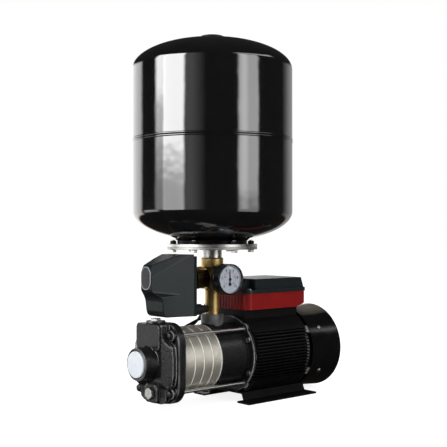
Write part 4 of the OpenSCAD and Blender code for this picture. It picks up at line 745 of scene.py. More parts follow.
class Pattern:
    """Repeats an item with geometry nodes and turns the result into a plain mesh."""

    INPUTS = {
        "Geometry": "Geometry", "Item": "Object", "Finish": "Material", "Count": "Int", "Step": "Vector",
        "Start": "Vector",
    }

    def __init__(self, name: str, layout: Layout, work: Work, finish: Finish) -> None:
        """Keeps what is repeated.

        Args:
            name: Name of the result.
            layout: How the items lie.
            work: The item, modelled about its own origin in millimetres.
            finish: Finish of the result.
        """
        self.name = name
        self.layout = layout
        self.item = linked(name + "_item", mesh_of(name + "_item", cleaned(work)))
        self.finish = finish

    def numbered(self, graph: Graph) -> Socket:
        """Number of an item on each axis, about the middle on a grid of two by two.

        Args:
            graph: The tree's graph.

        Returns:
            The vector's socket.
        """
        index = graph.add("GeometryNodeInputIndex").outputs[0]
        axes = {0: index, 1: index, 2: index}
        if self.layout is Layout.GRID:
            across = graph.math("MODULO", index, 2.0)
            along = graph.math("FLOOR", graph.math("DIVIDE", index, 2.0))
            axes = {0: graph.math("SUBTRACT", across, 0.5), 1: graph.math("SUBTRACT", along, 0.5)}
        return graph.add("ShaderNodeCombineXYZ", axes).outputs[0]

    def tree(self) -> bpy.types.NodeTree:
        """Builds the node tree with named inputs for count, step and start.

        Returns:
            The tree.
        """
        tree = bpy.data.node_groups.new(self.name + " tree", "GeometryNodeTree")
        for name, kind in self.INPUTS.items():
            tree.interface.new_socket(name, in_out="INPUT", socket_type="NodeSocket" + kind)
        tree.interface.new_socket("Geometry", in_out="OUTPUT", socket_type="NodeSocketGeometry")
        graph = Graph(tree)
        given = graph.add("NodeGroupInput").outputs
        number, vector = self.numbered(graph), "ShaderNodeVectorMath"
        scaled = graph.add(vector, {0: number, 1: given["Step"]}, operation="MULTIPLY").outputs[0]
        moved = graph.add(vector, {0: scaled, 1: given["Start"]}, operation="ADD").outputs[0]
        points = graph.add("GeometryNodePoints", {"Count": given["Count"]}).outputs[0]
        item = graph.add("GeometryNodeObjectInfo", {"Object": given["Item"]}).outputs["Geometry"]
        if self.layout is Layout.RING:
            spread = {"Instance": item, "Points": points, "Rotation": moved}
        else:
            shift = graph.add("GeometryNodeSetPosition", {"Geometry": points, "Position": moved})
            spread = {"Instance": item, "Points": shift.outputs[0]}
        placed = graph.add("GeometryNodeInstanceOnPoints", spread).outputs[0]
        real = graph.add("GeometryNodeRealizeInstances", {0: placed}).outputs[0]
        dress = graph.add("GeometryNodeSetMaterial", {"Geometry": real, "Material": given["Finish"]})
        graph.add("NodeGroupOutput", {0: dress.outputs[0]})
        return tree

    def build(self, count: int, step: Sequence[float], start: Sequence[float], matrix: Matrix) -> Piece:
        """Repeats the item and removes it.

        Args:
            count: Number of items.
            step: Step from item to item: radians about each axis on a ring, else millimetres.
            start: Turn or place of the first item.
            matrix: Place of the whole pattern.

        Returns:
            The repeated items as one plain mesh.
        """
        holder = linked(self.name + "_holder", bpy.data.meshes.new(self.name + "_holder"))
        modifier = holder.modifiers.new("Pattern", "NODES")
        tree = self.tree()
        modifier.node_group = tree
        values = {
            "Item": self.item, "Finish": self.finish.make(), "Count": count, "Step": tuple(step),
            "Start": tuple(start),
        }
        for socket in tree.interface.items_tree:
            if socket.in_out == "INPUT" and socket.name in values:
                modifier[socket.identifier] = values[socket.name]
        bpy.context.view_layer.update()
        mesh = evaluated(holder)
        mesh.name = self.name
        for helper in (holder, self.item):
            bpy.data.objects.remove(helper)
        mesh.transform(matrix)
        return finished(self.name, mesh, self.finish)


def ring_of(work: Work, points: Iterable[Sequence[float]]) -> Ring:
    """Adds a ring of vertices."""
    return [work.verts.new(p) for p in points]


def bridge(work: Work, low: Ring, high: Ring) -> None:
    """Joins two rings of equal length with faces.

    Args:
        work: The mesh to add to.
        low: The first ring.
        high: The second ring.
    """
    for k, here in enumerate(low):
        m = (k + 1) % len(low)
        work.faces.new((here, low[m], high[m], high[k]))


def capped(work: Work, rings: Sequence[Ring]) -> None:
    """Joins a row of rings and closes both ends.

    Args:
        work: The mesh to add to.
        rings: The rings in order.
    """
    for low, high in zip(rings, rings[1:]):
        bridge(work, low, high)
    work.faces.new(rings[-1])
    work.faces.new(list(reversed(rings[0])))


def add_turned(work: Work, outline: Sequence[Point], segments: int = 32, ring: bool = False) -> None:
    """Adds a solid turned about Z.

    Args:
        work: The mesh to add to.
        outline: Points of radius and height, from pole to pole or round a closed section.
        segments: Divisions round the axis.
        ring: Whether the outline is a closed section.
    """
    turns = [2 * math.pi * k / segments for k in range(segments)]
    rings = [
        [work.verts.new((0, 0, z))]
        if radius < TINY
        else ring_of(work, [(radius * math.cos(a), radius * math.sin(a), z) for a in turns])
        for radius, z in outline
    ]
    for low, high in zip(rings, rings[1:] + rings[:1] if ring else rings[1:]):
        if len(low) > 1 and len(high) > 1:
            bridge(work, low, high)
            continue
        for k in range(segments if len(low) + len(high) > 2 else 0):
            m = (k + 1) % segments
            work.faces.new((low[0], high[m], high[k]) if len(low) == 1 else (low[k], low[m], high[0]))


def add_hexagon(work: Work, flats: float, height: float, steps: int = 8) -> None:
    """Adds a chamfered hexagon head or nut that stands on z = 0.

    Args:
        work: The mesh to add to.
        flats: Width across flats.
        height: Its height.
        steps: Divisions of each flat.
    """
    face_share, slope = 0.94, 0.6
    side_deg = 360 / 6
    count, half = 6 * steps, flats / 2
    turns = [360 * k / count for k in range(count)]
    sides = [half / math.cos(math.radians((turn + side_deg / 2) % side_deg - side_deg / 2)) for turn in turns]
    shoulder = [height - (side - half * face_share) * slope for side in sides]

    def ring(radii: Sequence[float], heights: Sequence[float]) -> Ring:
        """Adds one ring."""
        spots = zip(map(math.radians, turns), radii, heights)
        return ring_of(work, [(r * math.cos(a), r * math.sin(a), z) for a, r, z in spots])

    foot, upper = ring(sides, [0] * count), ring(sides, shoulder)
    capped(work, [foot, upper, ring([half * face_share] * count, [height] * count)])


def add_box(work: Work, low: Sequence[float], high: Sequence[float]) -> None:
    """Adds a box.

    Args:
        work: The mesh to add to.
        low: Lowest corner.
        high: Highest corner.
    """
    size, middle = Vector(high) - Vector(low), (Vector(high) + Vector(low)) / 2
    for vert in bmesh.ops.create_cube(work, size=1.0)["verts"]:
        vert.co = vert.co * size + middle


@dataclass(frozen=True)
class DomedScrew:
    """Domed screw with a round recess, about its own Z with the foot of its head at 0."""

    radius: float = 4.0
    height: float = 3.0
    shank_r: float = 2.0
    shank_l: float = 12.0
    recess_r: float = 0.8
    recess_slope: float = 0.1
    recess_top: float = 2.9
    recess_low: float = 1.6
    sides: int = 24
    turns: tuple[int, int, int] = (15, 76, 15)

    def add(self, work: Work) -> None:
        """Adds the screw to a mesh.

        Args:
            work: The mesh to add to.
        """
        shank = [(0, -self.shank_l), (self.shank_r, -self.shank_l), (self.shank_r, 0), (self.radius, 0)]
        turns = [math.radians(degrees) for degrees in range(*self.turns)]
        dome = [(self.radius * math.cos(a), self.height * math.sin(a)) for a in turns]
        edge = (self.recess_r + self.recess_slope, self.recess_top)
        recess = [edge, (self.recess_r, self.recess_low), (0, self.recess_low)]
        add_turned(work, shank + dome + recess, self.sides)


@dataclass(frozen=True)
class SoftBox:
    """A lit area that glossy surfaces reflect.

    Attributes:
        middle: Bearing of its middle in degrees, 0 along the view and counted to the left.
        width: Width in degrees.
        strength: Its light.
        low: Upward share of the direction at its lower edge.
        high: The same at its upper edge.
        soft: Half width of its side edges' blur in degrees.
        fade: Half width of the blur of its lower and upper edges.
        below: Share of its light that goes on under its lower edge.
        cut: Upward share at which that light ends.
    """

    middle: float
    width: float
    strength: float
    low: float = -0.4
    high: float = 0.78
    soft: float = 2.0
    fade: float = 0.04
    below: float = 0.0
    cut: float = -2.0

    CUT_FADE = 0.02

    def glow(self, graph: Graph, turn: Socket, rise: Socket) -> Socket:
        """Adds the light of the box.

        Args:
            graph: The world's graph.
            turn: Bearing of the ray in degrees, 0 along the view and counted to the left.
            rise: Upward share of the ray's direction.

        Returns:
            Its strength in the ray's direction.
        """
        off = graph.math("ABSOLUTE", graph.math("SUBTRACT", turn, self.middle))
        half, edges = self.width / 2, (self.strength, 0.0)
        across = graph.ramp(off, (half - self.soft, half + self.soft), edges)
        over = graph.ramp(rise, (self.low - self.fade, self.low + self.fade), (self.below, 1.0))
        under = graph.ramp(rise, (self.high - self.fade, self.high + self.fade), (1.0, 0.0))
        held = graph.math("MULTIPLY", over, under)
        if self.below > 0:
            kept = graph.ramp(rise, (self.cut - self.CUT_FADE, self.cut + self.CUT_FADE))
            held = graph.math("MULTIPLY", held, kept)
        return graph.math("MULTIPLY", across, held)


@dataclass(frozen=True)
class Lamp:
    """A soft lamp that faces the pump, in metres and watts."""

    name: str
    at: Place
    size: Point
    power: float
    aim: Place = (-0.06, 0.0, 0.3)

    def build(self) -> None:
        """Adds the lamp, unseen in reflections."""
        data = bpy.data.lights.new(self.name, "AREA")
        data.shape = "RECTANGLE"
        data.size, data.size_y = self.size
        data.energy = self.power
        lamp = linked(self.name, data)
        turn = (Vector(self.aim) - Vector(self.at)).to_track_quat("-Z", "Y").to_matrix().to_4x4()
        lamp.matrix_world = Matrix.Translation(Vector(self.at)) @ turn
        lamp.visible_glossy = False
        lamp.visible_camera = False


@dataclass
class Studio:
    """Camera, backdrop, lamps and what the glossy surfaces reflect."""

    eye: Place = (-1024.2, -1081.6, 278.0)
    look: Place = (0.66037, 0.75086, 0.01105)
    focal_px: float = 856.34
    image_px: float = 447.0
    sensor: float = 36.0
    clip: Point = (0.01, 50.0)
    ambient: float = 0.42
    room: float = 0.02
    ground: float = 0.014
    ground_rise: Point = (-0.75, -0.1)
    warm: Colour = (1.0, 0.89, 0.78)
    warm_rise: Point = (-0.5, -0.05)
    floor_half: float = 12.0
    floor_z: float = -0.0005
    floor_grey: float = 0.5
    floor_glow: float = 0.25
    floor_seen: float = 0.6
    lamps: tuple[Lamp, ...] = (
        Lamp("Key", (-2.0, -0.5, 1.5), (1.2, 1.6), 38.0),
        Lamp("Fill", (0.9, -2.1, 0.9), (1.2, 1.4), 26.0),
        Lamp("Top", (-0.1, 0.1, 2.3), (1.6, 1.6), 26.0),
    )
    boxes: tuple[SoftBox, ...] = (
        SoftBox(125.0, 33.0, 6.2, low=0.085, high=0.5, fade=0.014, below=0.33, cut=-0.05),
        SoftBox(102.0, 14.0, 5.4, low=0.155, high=0.5, soft=3.0, fade=0.015, below=0.45, cut=0.085),
        SoftBox(102.0, 14.0, 1.0, low=0.0, high=0.085, soft=3.0, fade=0.02),
        SoftBox(150.0, 24.0, 0.35, high=0.5, soft=10.0, below=0.5, cut=-0.05),
        SoftBox(85.0, 30.0, 1.1, low=-0.2, high=-0.01, soft=3.0, fade=0.02),
        SoftBox(-127.0, 31.0, 2.1, low=0.04, high=0.42, fade=0.012, below=0.45, cut=-0.3),
        SoftBox(-134.0, 10.0, 0.9, low=0.0, high=0.42, soft=3.0, fade=0.03),
        SoftBox(-112.0, 64.0, 2.0, low=0.46, high=0.56, soft=6.0, fade=0.03),
        SoftBox(30.0, 66.0, 1.35, low=-0.3, high=0.24, soft=4.0),
        SoftBox(-26.0, 52.0, 0.36, low=-0.3, high=0.24, soft=10.0),
    )

    def camera(self) -> None:
        """Sets the camera that matches the photograph."""
        data = bpy.data.cameras.new("Camera")
        data.sensor_width = self.sensor
        data.lens = self.focal_px / self.image_px * self.sensor
        data.clip_start, data.clip_end = self.clip
        camera = linked("Camera", data)
        turn = Vector(self.look).to_track_quat("-Z", "Y").to_matrix().to_4x4()
        camera.matrix_world = Matrix.Translation(Vector(self.eye) * MM) @ turn
        bpy.context.scene.camera = camera

    def reflected(self, graph: Graph, along: Callable[[Sequence[float]], Socket]) -> Socket:
        """Adds the light of the room with its soft boxes.

        Args:
            graph: The world's graph.
            along: Gives the share of the ray's direction along an axis.

        Returns:
            Its strength in the ray's direction.
        """
        view = Vector((self.look[0], self.look[1], 0)).normalized()
        ahead, aside, rise = along(view), along((-view.y, view.x, 0)), along((0, 0, 1))
        turn = graph.math("MULTIPLY", graph.math("ARCTAN2", aside, ahead), math.degrees(1))
        total = graph.ramp(rise, self.ground_rise, (self.ground, self.room))
        for box in self.boxes:
            total = graph.math("ADD", total, box.glow(graph, turn, rise))
        return total

    def world(self) -> None:
        """Builds the white backdrop and the dark room with its soft boxes."""
        world = bpy.data.worlds.new("Studio")
        bpy.context.scene.world = world
        world.use_nodes = True
        graph = Graph(world.node_tree)
        direction = graph.add("ShaderNodeTexCoord").outputs["Generated"]

        def along(axis: Sequence[float]) -> Socket:
            """Share of the ray's direction along an axis."""
            inputs = {0: direction, 1: tuple(axis)}
            return graph.add("ShaderNodeVectorMath", inputs, operation="DOT_PRODUCT").outputs["Value"]

        path = graph.add("ShaderNodeLightPath").outputs
        gloss = graph.math("MAXIMUM", path["Is Glossy Ray"], path["Is Transmission Ray"])
        seen = path["Is Camera Ray"]
        other = graph.math("SUBTRACT", 1.0, graph.math("MAXIMUM", seen, gloss))
        shown = graph.math("ADD", seen, graph.math("MULTIPLY", gloss, self.reflected(graph, along)))
        strength = graph.math("ADD", shown, graph.math("MULTIPLY", other, self.ambient))
        low = graph.math("MULTIPLY", gloss, graph.ramp(along((0, 0, 1)), self.warm_rise, (1.0, 0.0)))
        inputs = {"Strength": strength, "Color": graph.mix(low, (1.0, 1.0, 1.0), self.warm)}
        graph.add("ShaderNodeOutputWorld", {"Surface": graph.add("ShaderNodeBackground", inputs).outputs[0]})

    def pale(self, graph: Graph) -> Socket:
        """Adds the nodes of the floor, which glows more to the camera than to the pump.

        Args:
            graph: The material's graph.

        Returns:
            The shader's socket.
        """
        grey = (self.floor_grey, self.floor_grey, self.floor_grey, 1)
        matt = graph.add("ShaderNodeBsdfDiffuse", {"Color": grey}).outputs[0]
        camera = graph.add("ShaderNodeLightPath").outputs["Is Camera Ray"]
        glow = graph.math("ADD", graph.math("MULTIPLY", camera, self.floor_seen), self.floor_glow)
        lit = graph.add("ShaderNodeEmission", {"Strength": glow}).outputs[0]
        return graph.add("ShaderNodeAddShader", {0: matt, 1: lit}).outputs[0]

    def floor(self) -> None:
        """Adds the pale floor, white to the camera but for the pump's shadow."""
        work = bmesh.new()
        bmesh.ops.create_grid(work, x_segments=4, y_segments=4, size=self.floor_half)
        floor = linked("floor", mesh_of("floor", work))
        floor.location.z = self.floor_z
        floor.visible_glossy = False
        floor.data.materials.append(surfaced("pale floor", self.pale))
        floor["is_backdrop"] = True

    def build(self) -> None:
        """Sets the whole stage."""
        self.camera()
        self.world()
        for lamp in self.lamps:
            lamp.build()
        self.floor()
        view = bpy.context.scene.view_settings
        view.view_transform = "Standard"
        LOG.info("studio set")


NODE_FINISHES: dict[Finish | GlassFinish, tuple[str, ...]] = {
    Palette.tank: ("tank_lower_shell", "tank_upper_shell"),
    Palette.sheet: ("base_plate", "tank_neck"),
    Palette.motor: ("motor_housing",),
    Palette.cover: ("fan_cover",),
    Palette.cast: ("outlet_adapter", "rear_shield", "discharge_part", "inlet_part"),
    Palette.flange: ("motor_flange",),
    Palette.stage: ("chamber_1", "chamber_2", "chamber_3", "chamber_4"),
    Palette.steel: ("motor_shaft", "bearing_inner_sets", "bearing_outer_races", "impellers", "tie_rods"),
    Palette.upright_steel: (
        "counter_flange", "clamp_ring", "nipple", "priming_plug", "check_valve_disc", "check_valve_spring",
        "range_spring", "contact_lever", "air_valve_core",
    ),
    Palette.zinc: ("frame_bolts", "fan_cover_screws", "drain_plug", "flange_bolts", "lid_screws"),
    Palette.lamination: ("stator_core", "rotor_core"),
    Palette.copper: ("stator_windings",),
    Palette.brass: ("manifold",),
    Palette.turned_brass: ("gauge_stem", "bourdon_tube", "air_valve_body"),
    Palette.shaded_brass: ("switch_nut",),
    Palette.black: ("cooling_fan", "air_valve_cap", "cable_glands", "switch_plunger"),
    Palette.switch: ("switch_cover", "switch_base"),
    Palette.lid: ("terminal_box_lid",),
    Palette.red: ("terminal_box_base",),
    Palette.white: ("inlet_cap",),
    Palette.cream: ("terminal_blocks",),
    Palette.case: ("gauge_case",),
    Palette.dial: ("gauge_dial",),
    Palette.pointer: ("gauge_pointer",),
    Palette.glass: ("gauge_glass",),
    Palette.rubber: ("bladder", "switch_lead"),
    Palette.carbon: ("seal_head",),
    Palette.ceramic: ("seal_seat",),
}


def dress_nodes() -> None:
    """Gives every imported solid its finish."""
    for finish, names in NODE_FINISHES.items():
        for name in names:
            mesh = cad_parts[name].data
            mesh.materials.clear()
            mesh.materials.append(finish.make())
    missing = set(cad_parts) - {name for names in NODE_FINISHES.values() for name in names}
    LOG.info("solids dressed, %d left bare", len(missing))


@dataclass
class Tank:
    """Pressure tank of two drawn shells, with the cap over its air valve."""

    axis_x: float = -98.0
    radius: float = 133.0
    wall_low: float = 314.0
    wall_high: float = 548.0
    seam: float = 430.0
    dome_low: float = 51.0
    dome_high: float = 50.0
    sheet: float = 1.6
    bead_l: float = 3.5
    bead_t: float = 0.7
    bead_power: float = 0.6
    bead_steps: int = 10
    dome_steps: int = 40
    neck_hole: float = 57.85
    valve_hole: float = 6.05
    cap_ease: float = 0.9
    segments: int = 192

    def dome(self, inset: float, height: float, base: float, start: float, end: float) -> list[Point]:
        """Points on an elliptic dome.

        Args:
            inset: Distance inside the outer skin.
            height: Height of the dome, negative downwards.
            base: Height of the wall's end.
            start: First angle in radians.
            end: Last angle.

        Returns:
            The points from start to end.
        """
        reach = self.radius - inset
        rise = height - math.copysign(inset, height)
        turns = (start + (end - start) * k / self.dome_steps for k in range(self.dome_steps + 1))
        return [(reach * math.cos(a), base + rise * math.sin(a)) for a in turns]

    def bead(self, low: float) -> list[Point]:
        """Points of the rolled bead at the seam.

        Args:
            low: Height at which it starts.

        Returns:
            The points from its start up.
        """
        shares = [k / self.bead_steps for k in range(self.bead_steps + 1)]
        return [
            (self.radius + self.bead_t * math.sin(math.pi * t) ** self.bead_power, low + self.bead_l * t)
            for t in shares
        ]

    def build(self) -> None:
        """Turns both shells and rounds the cap."""
        axis, inner = place((self.axis_x, 0, 0)), self.radius - self.sheet
        neck, neck_in = (math.acos(self.neck_hole / r) for r in (self.radius, inner))
        valve, valve_in = (math.acos(self.valve_hole / r) for r in (self.radius, inner))
        low = self.dome(0, -self.dome_low, self.wall_low, neck, 0)
        low += self.bead(self.seam - self.bead_l) + [(inner, self.seam)]
        low += self.dome(self.sheet, -self.dome_low, self.wall_low, 0, neck_in)
        high = [(inner, self.seam)] + self.bead(self.seam)
        high += self.dome(0, self.dome_high, self.wall_high, 0, valve)
        high += self.dome(self.sheet, self.dome_high, self.wall_high, valve_in, 0)
        for part, outline in (("lower", low), ("upper", high)):
            shell = lathe(f"tank_{part}_form", outline, axis, Palette.tank, self.segments)
            settled(shell, "black_paint", f"tank_{part}_shell")
        eased("air_valve_cap", "black_plastic", Palette.black, self.cap_ease, steps=3, body="valve_cap")


@dataclass
class NeckFlange:
    """Clamped flange under the tank with its six bolts."""

    axis_x: float = -98.0
    low: float = 251.2
    high: float = 260.0
    circle_r: float = 64.5
    first_deg: float = 22.6
    count: int = 6
    flats: float = 10.0
    head_h: float = 5.0
    nut_h: float = 5.0
    bolt_r: float = 3.0
    tip: float = 1.4
    tip_ease: float = 0.6
    washer_r: float = 6.1
    washer_t: float = 0.9
    washer_ease: float = 0.2
    lap: float = 1.0
    ease: float = 0.5

    def bolt(self) -> Work:
        """Builds one bolt with its washer, its head hanging under z = 0.

        Returns:
            The bolt.
        """
        work = bmesh.new()
        add_hexagon(work, self.flats, self.head_h)
        bmesh.ops.scale(work, verts=work.verts, vec=(1, 1, -1))
        grip = self.high - self.low + self.nut_h + self.tip
        r, soft = self.bolt_r, self.tip_ease
        add_turned(work, [(0, -self.lap), (r, -self.lap), (r, grip - soft), (r - soft, grip), (0, grip)])
        r, t, soft = self.washer_r, self.washer_t, self.washer_ease
        add_turned(work, [(0, -t), (r - soft, -t), (r, soft - t), (r, 0), (0, 0)])
        return work

    def nut(self) -> Work:
        """Builds one nut.

        Returns:
            The nut.
        """
        work = bmesh.new()
        add_hexagon(work, self.flats, self.nut_h)
        return work

    def round_row(self, name: str, work: Work, finish: Finish, height: float) -> Piece:
        """Repeats an item on the bolt circle.

        Args:
            name: Name of the result.
            work: The item about its own axis.
            finish: Its finish.
            height: Height of its foot.

        Returns:
            The repeated items.
        """
        bmesh.ops.translate(work, verts=work.verts, vec=(self.circle_r, 0, 0))
        step, start = (0, 0, 2 * math.pi / self.count), (0, 0, math.radians(self.first_deg))
        matrix = place((self.axis_x, 0, height))
        return Pattern(name, Layout.RING, work, finish).build(self.count, step, start, matrix)

    def build(self) -> None:
        """Rounds both rings and repeats the bolts and nuts."""
        eased("counter_flange", "stainless", Palette.shaded_steel, self.ease)
        eased("clamp_ring", "stainless", Palette.upright_steel, self.ease)
        bolts = self.round_row("flange_bolt_set", self.bolt(), Palette.zinc, self.low)
        settled(bolts, "plated_steel", "flange_bolts")
        settled(self.round_row("flange_nut_set", self.nut(), Palette.motor, self.high), "black_paint")


@dataclass
class Fitting:
    """Cast brass fitting between pump and tank."""

    voxel: float = 0.9
    rounds: int = 3
    ease: float = 0.8

    def build(self) -> None:
        """Softens the casting and rounds the union nut and the outlet adapter."""
        cast("manifold", "brass", Palette.brass, self.voxel, self.rounds)
        eased("switch_nut", "brass", Palette.shaded_brass, self.ease)
        eased("outlet_adapter", "cast_iron", Palette.cast, self.ease)


@dataclass(frozen=True)
class TickRing:
    """A ring of printed ticks: its name, number, outer radius, tick's length and width, and ink."""

    name: str
    count: int
    radius: float
    length: float
    width: float
    ink: Finish = Palette.ink


@dataclass(frozen=True)
class NumberRing:
    """A ring of printed numbers: its name, numbers, middle radius, height and ink."""

    name: str
    values: tuple[str, ...]
    radius: float
    size: float
    ink: Finish = Palette.ink


@dataclass
class Gauge:
    """Pressure gauge with a printed dial, its heights counted from the centre towards the reader.

    Attributes:
        groove: Heights over the case's back at which the groove round it starts and ends.
        seat: Distance inside the skin of the step on which the dial and the glass sit.
        letter_weight: Share of a letter's size by which its strokes grow.
        arm: Half widths and places of the pointer's long arm.
        hub: Radii and heights over the pointer of its hub.
    """

    centre: Place = (-98.0, 0.0, 203.0)
    out: Place = (-0.08716, -0.99619, 0.0)
    radius: float = 25.0
    back: float = 31.0
    front: float = 53.0
    wall: float = 1.6
    lip: float = 2.3
    lip_t: float = 0.8
    stem_r: float = 4.05
    groove: Point = (6.0, 13.6)
    groove_t: float = 0.5
    groove_slope: float = 0.6
    seat_z: float = 47.5
    seat: float = 3.4
    round_r: float = 1.1
    dial_face: float = 48.3
    sweep_deg: float = 270.0
    ink_t: float = 0.04
    letter_weight: float = 1 / 45
    pointer_low: float = 48.9
    pointer_high: float = 49.5
    arm: tuple[Point, ...] = ((0.25, 16.5), (1.1, 0.0), (0.85, -5.6))
    tail_r: float = 2.9
    tail_mid: float = -8.0
    tail_share: float = 0.88
    tail_steps: int = 10
    spindle_r: float = 1.0
    spindle_low: float = 34.2
    spindle_high: float = 47.2
    hub_foot: float = 47.0
    hub: tuple[Point, ...] = ((2.6, 0), (2.6, 0.4), (1.8, 0.65), (0, 0.65))
    tick_rings: tuple[TickRing, ...] = (
        TickRing("fine_ticks", 51, 21.4, 1.5, 0.3),
        TickRing("long_ticks", 11, 21.4, 2.8, 0.6),
        TickRing("inner_ticks", 57, 12.6, 1.2, 0.5, Palette.red_ink),
    )
    number_rings: tuple[NumberRing, ...] = (
        NumberRing("outer_numbers", ("0", "2", "4", "6", "8", "10"), 15.7, 6.0),
        NumberRing("inner_numbers", ("0", "40", "80", "120", "140"), 9.4, 3.3, Palette.red_ink),
    )

    def matrix(self) -> Matrix:
        """Place of the gauge, with Z towards the reader and Y up."""
        return place(self.centre, self.out, (0, 0, 1))

    def ticks(self, ring: TickRing) -> None:
        """Prints a ring of ticks over the sweep.

        Args:
            ring: The ring.
        """
        work = bmesh.new()
        low = (-ring.width / 2, ring.radius - ring.length, self.dial_face - self.ink_t)
        add_box(work, low, (ring.width / 2, ring.radius, self.dial_face + self.ink_t))
        sweep = math.radians(self.sweep_deg)
        pattern = Pattern(ring.name, Layout.RING, work, ring.ink)
        step, start = (0, 0, -sweep / (ring.count - 1)), (0, 0, sweep / 2)
        settled(pattern.build(ring.count, step, start, self.matrix()), "dial_face")

    def numerals(self, ring: NumberRing) -> None:
        """Prints numbers evenly over the sweep.

        Args:
            ring: The ring.
        """
        work = bmesh.new()
        for k, value in enumerate(ring.values):
            turn = math.radians(90 + self.sweep_deg / 2 - self.sweep_deg * k / (len(ring.values) - 1))
            curve = bpy.data.curves.new(ring.name, "FONT")
            curve.body = value
            curve.size = ring.size
            curve.align_x = "CENTER"
            curve.align_y = "CENTER"
            curve.extrude = self.ink_t
            curve.resolution_u = 3
            curve.offset = ring.size * self.letter_weight
            words = linked(ring.name, curve)
            bpy.context.view_layer.update()
            mesh = evaluated(words)
            spot = (ring.radius * math.cos(turn), ring.radius * math.sin(turn), self.dial_face)
            mesh.transform(Matrix.Translation(spot))
            work.from_mesh(mesh)
            bpy.data.objects.remove(words)
        settled(closed(ring.name, work, self.matrix(), ring.ink), "dial_face")

    def case(self) -> None:
        """Turns the case and its bezel."""
        outer, inner, neck = self.radius, self.radius - self.wall, self.radius - self.groove_t
        low, high = (self.back + height for height in self.groove)
        mouth, lip, slope = outer - self.lip, self.front - self.lip_t, self.groove_slope
        seat, floor = outer - self.seat, self.back + self.wall
        outline = [
            (self.stem_r, self.back), (outer, self.back), (outer, low), (neck, low + slope),
            (neck, high - slope), (outer, high), (outer, self.front), (mouth, self.front), (mouth, lip),
            (inner, lip), (inner, self.seat_z), (seat, self.seat_z), (seat, floor), (self.stem_r, floor),
        ]
        form = lathe("gauge_case_form", filleted(outline, self.round_r), self.matrix(), Palette.case)
        settled(form, "black_plastic", "gauge_case")

    def pointer(self) -> None:
        """Cuts the pointer with its round tail and turns its hub and spindle."""
        work = bmesh.new()
        low, high = self.pointer_low, self.pointer_high
        turns = [math.pi * self.tail_share * (1 - k / self.tail_steps) for k in range(self.tail_steps + 1)]
        tail = [(self.tail_r * math.sin(a), self.tail_mid - self.tail_r * math.cos(a)) for a in turns]
        right = [*self.arm, *tail]
        outline = right + [(-x, y) for x, y in reversed(right) if x > TINY]
        capped(work, [ring_of(work, [(x, y, z) for x, y in outline]) for z in (low, high)])
        r, start, end = self.spindle_r, self.spindle_low, self.spindle_high
        foot = [(0, self.hub_foot), (r, self.hub_foot), (r, high)]
        add_turned(work, foot + [(radius, high + rise) for radius, rise in self.hub])
        add_turned(work, [(0, start), (r, start), (r, end), (0, end)])
        form = closed("gauge_pointer_form", work, self.matrix(), Palette.pointer)
        settled(form, "pointer_black", "gauge_pointer", body="pointer")

    def build(self) -> None:
        """Builds the case, the printing and the pointer."""
        self.case()
        for ring in self.tick_rings:
            self.ticks(ring)
        for ring in self.number_rings:
            self.numerals(ring)
        self.pointer()


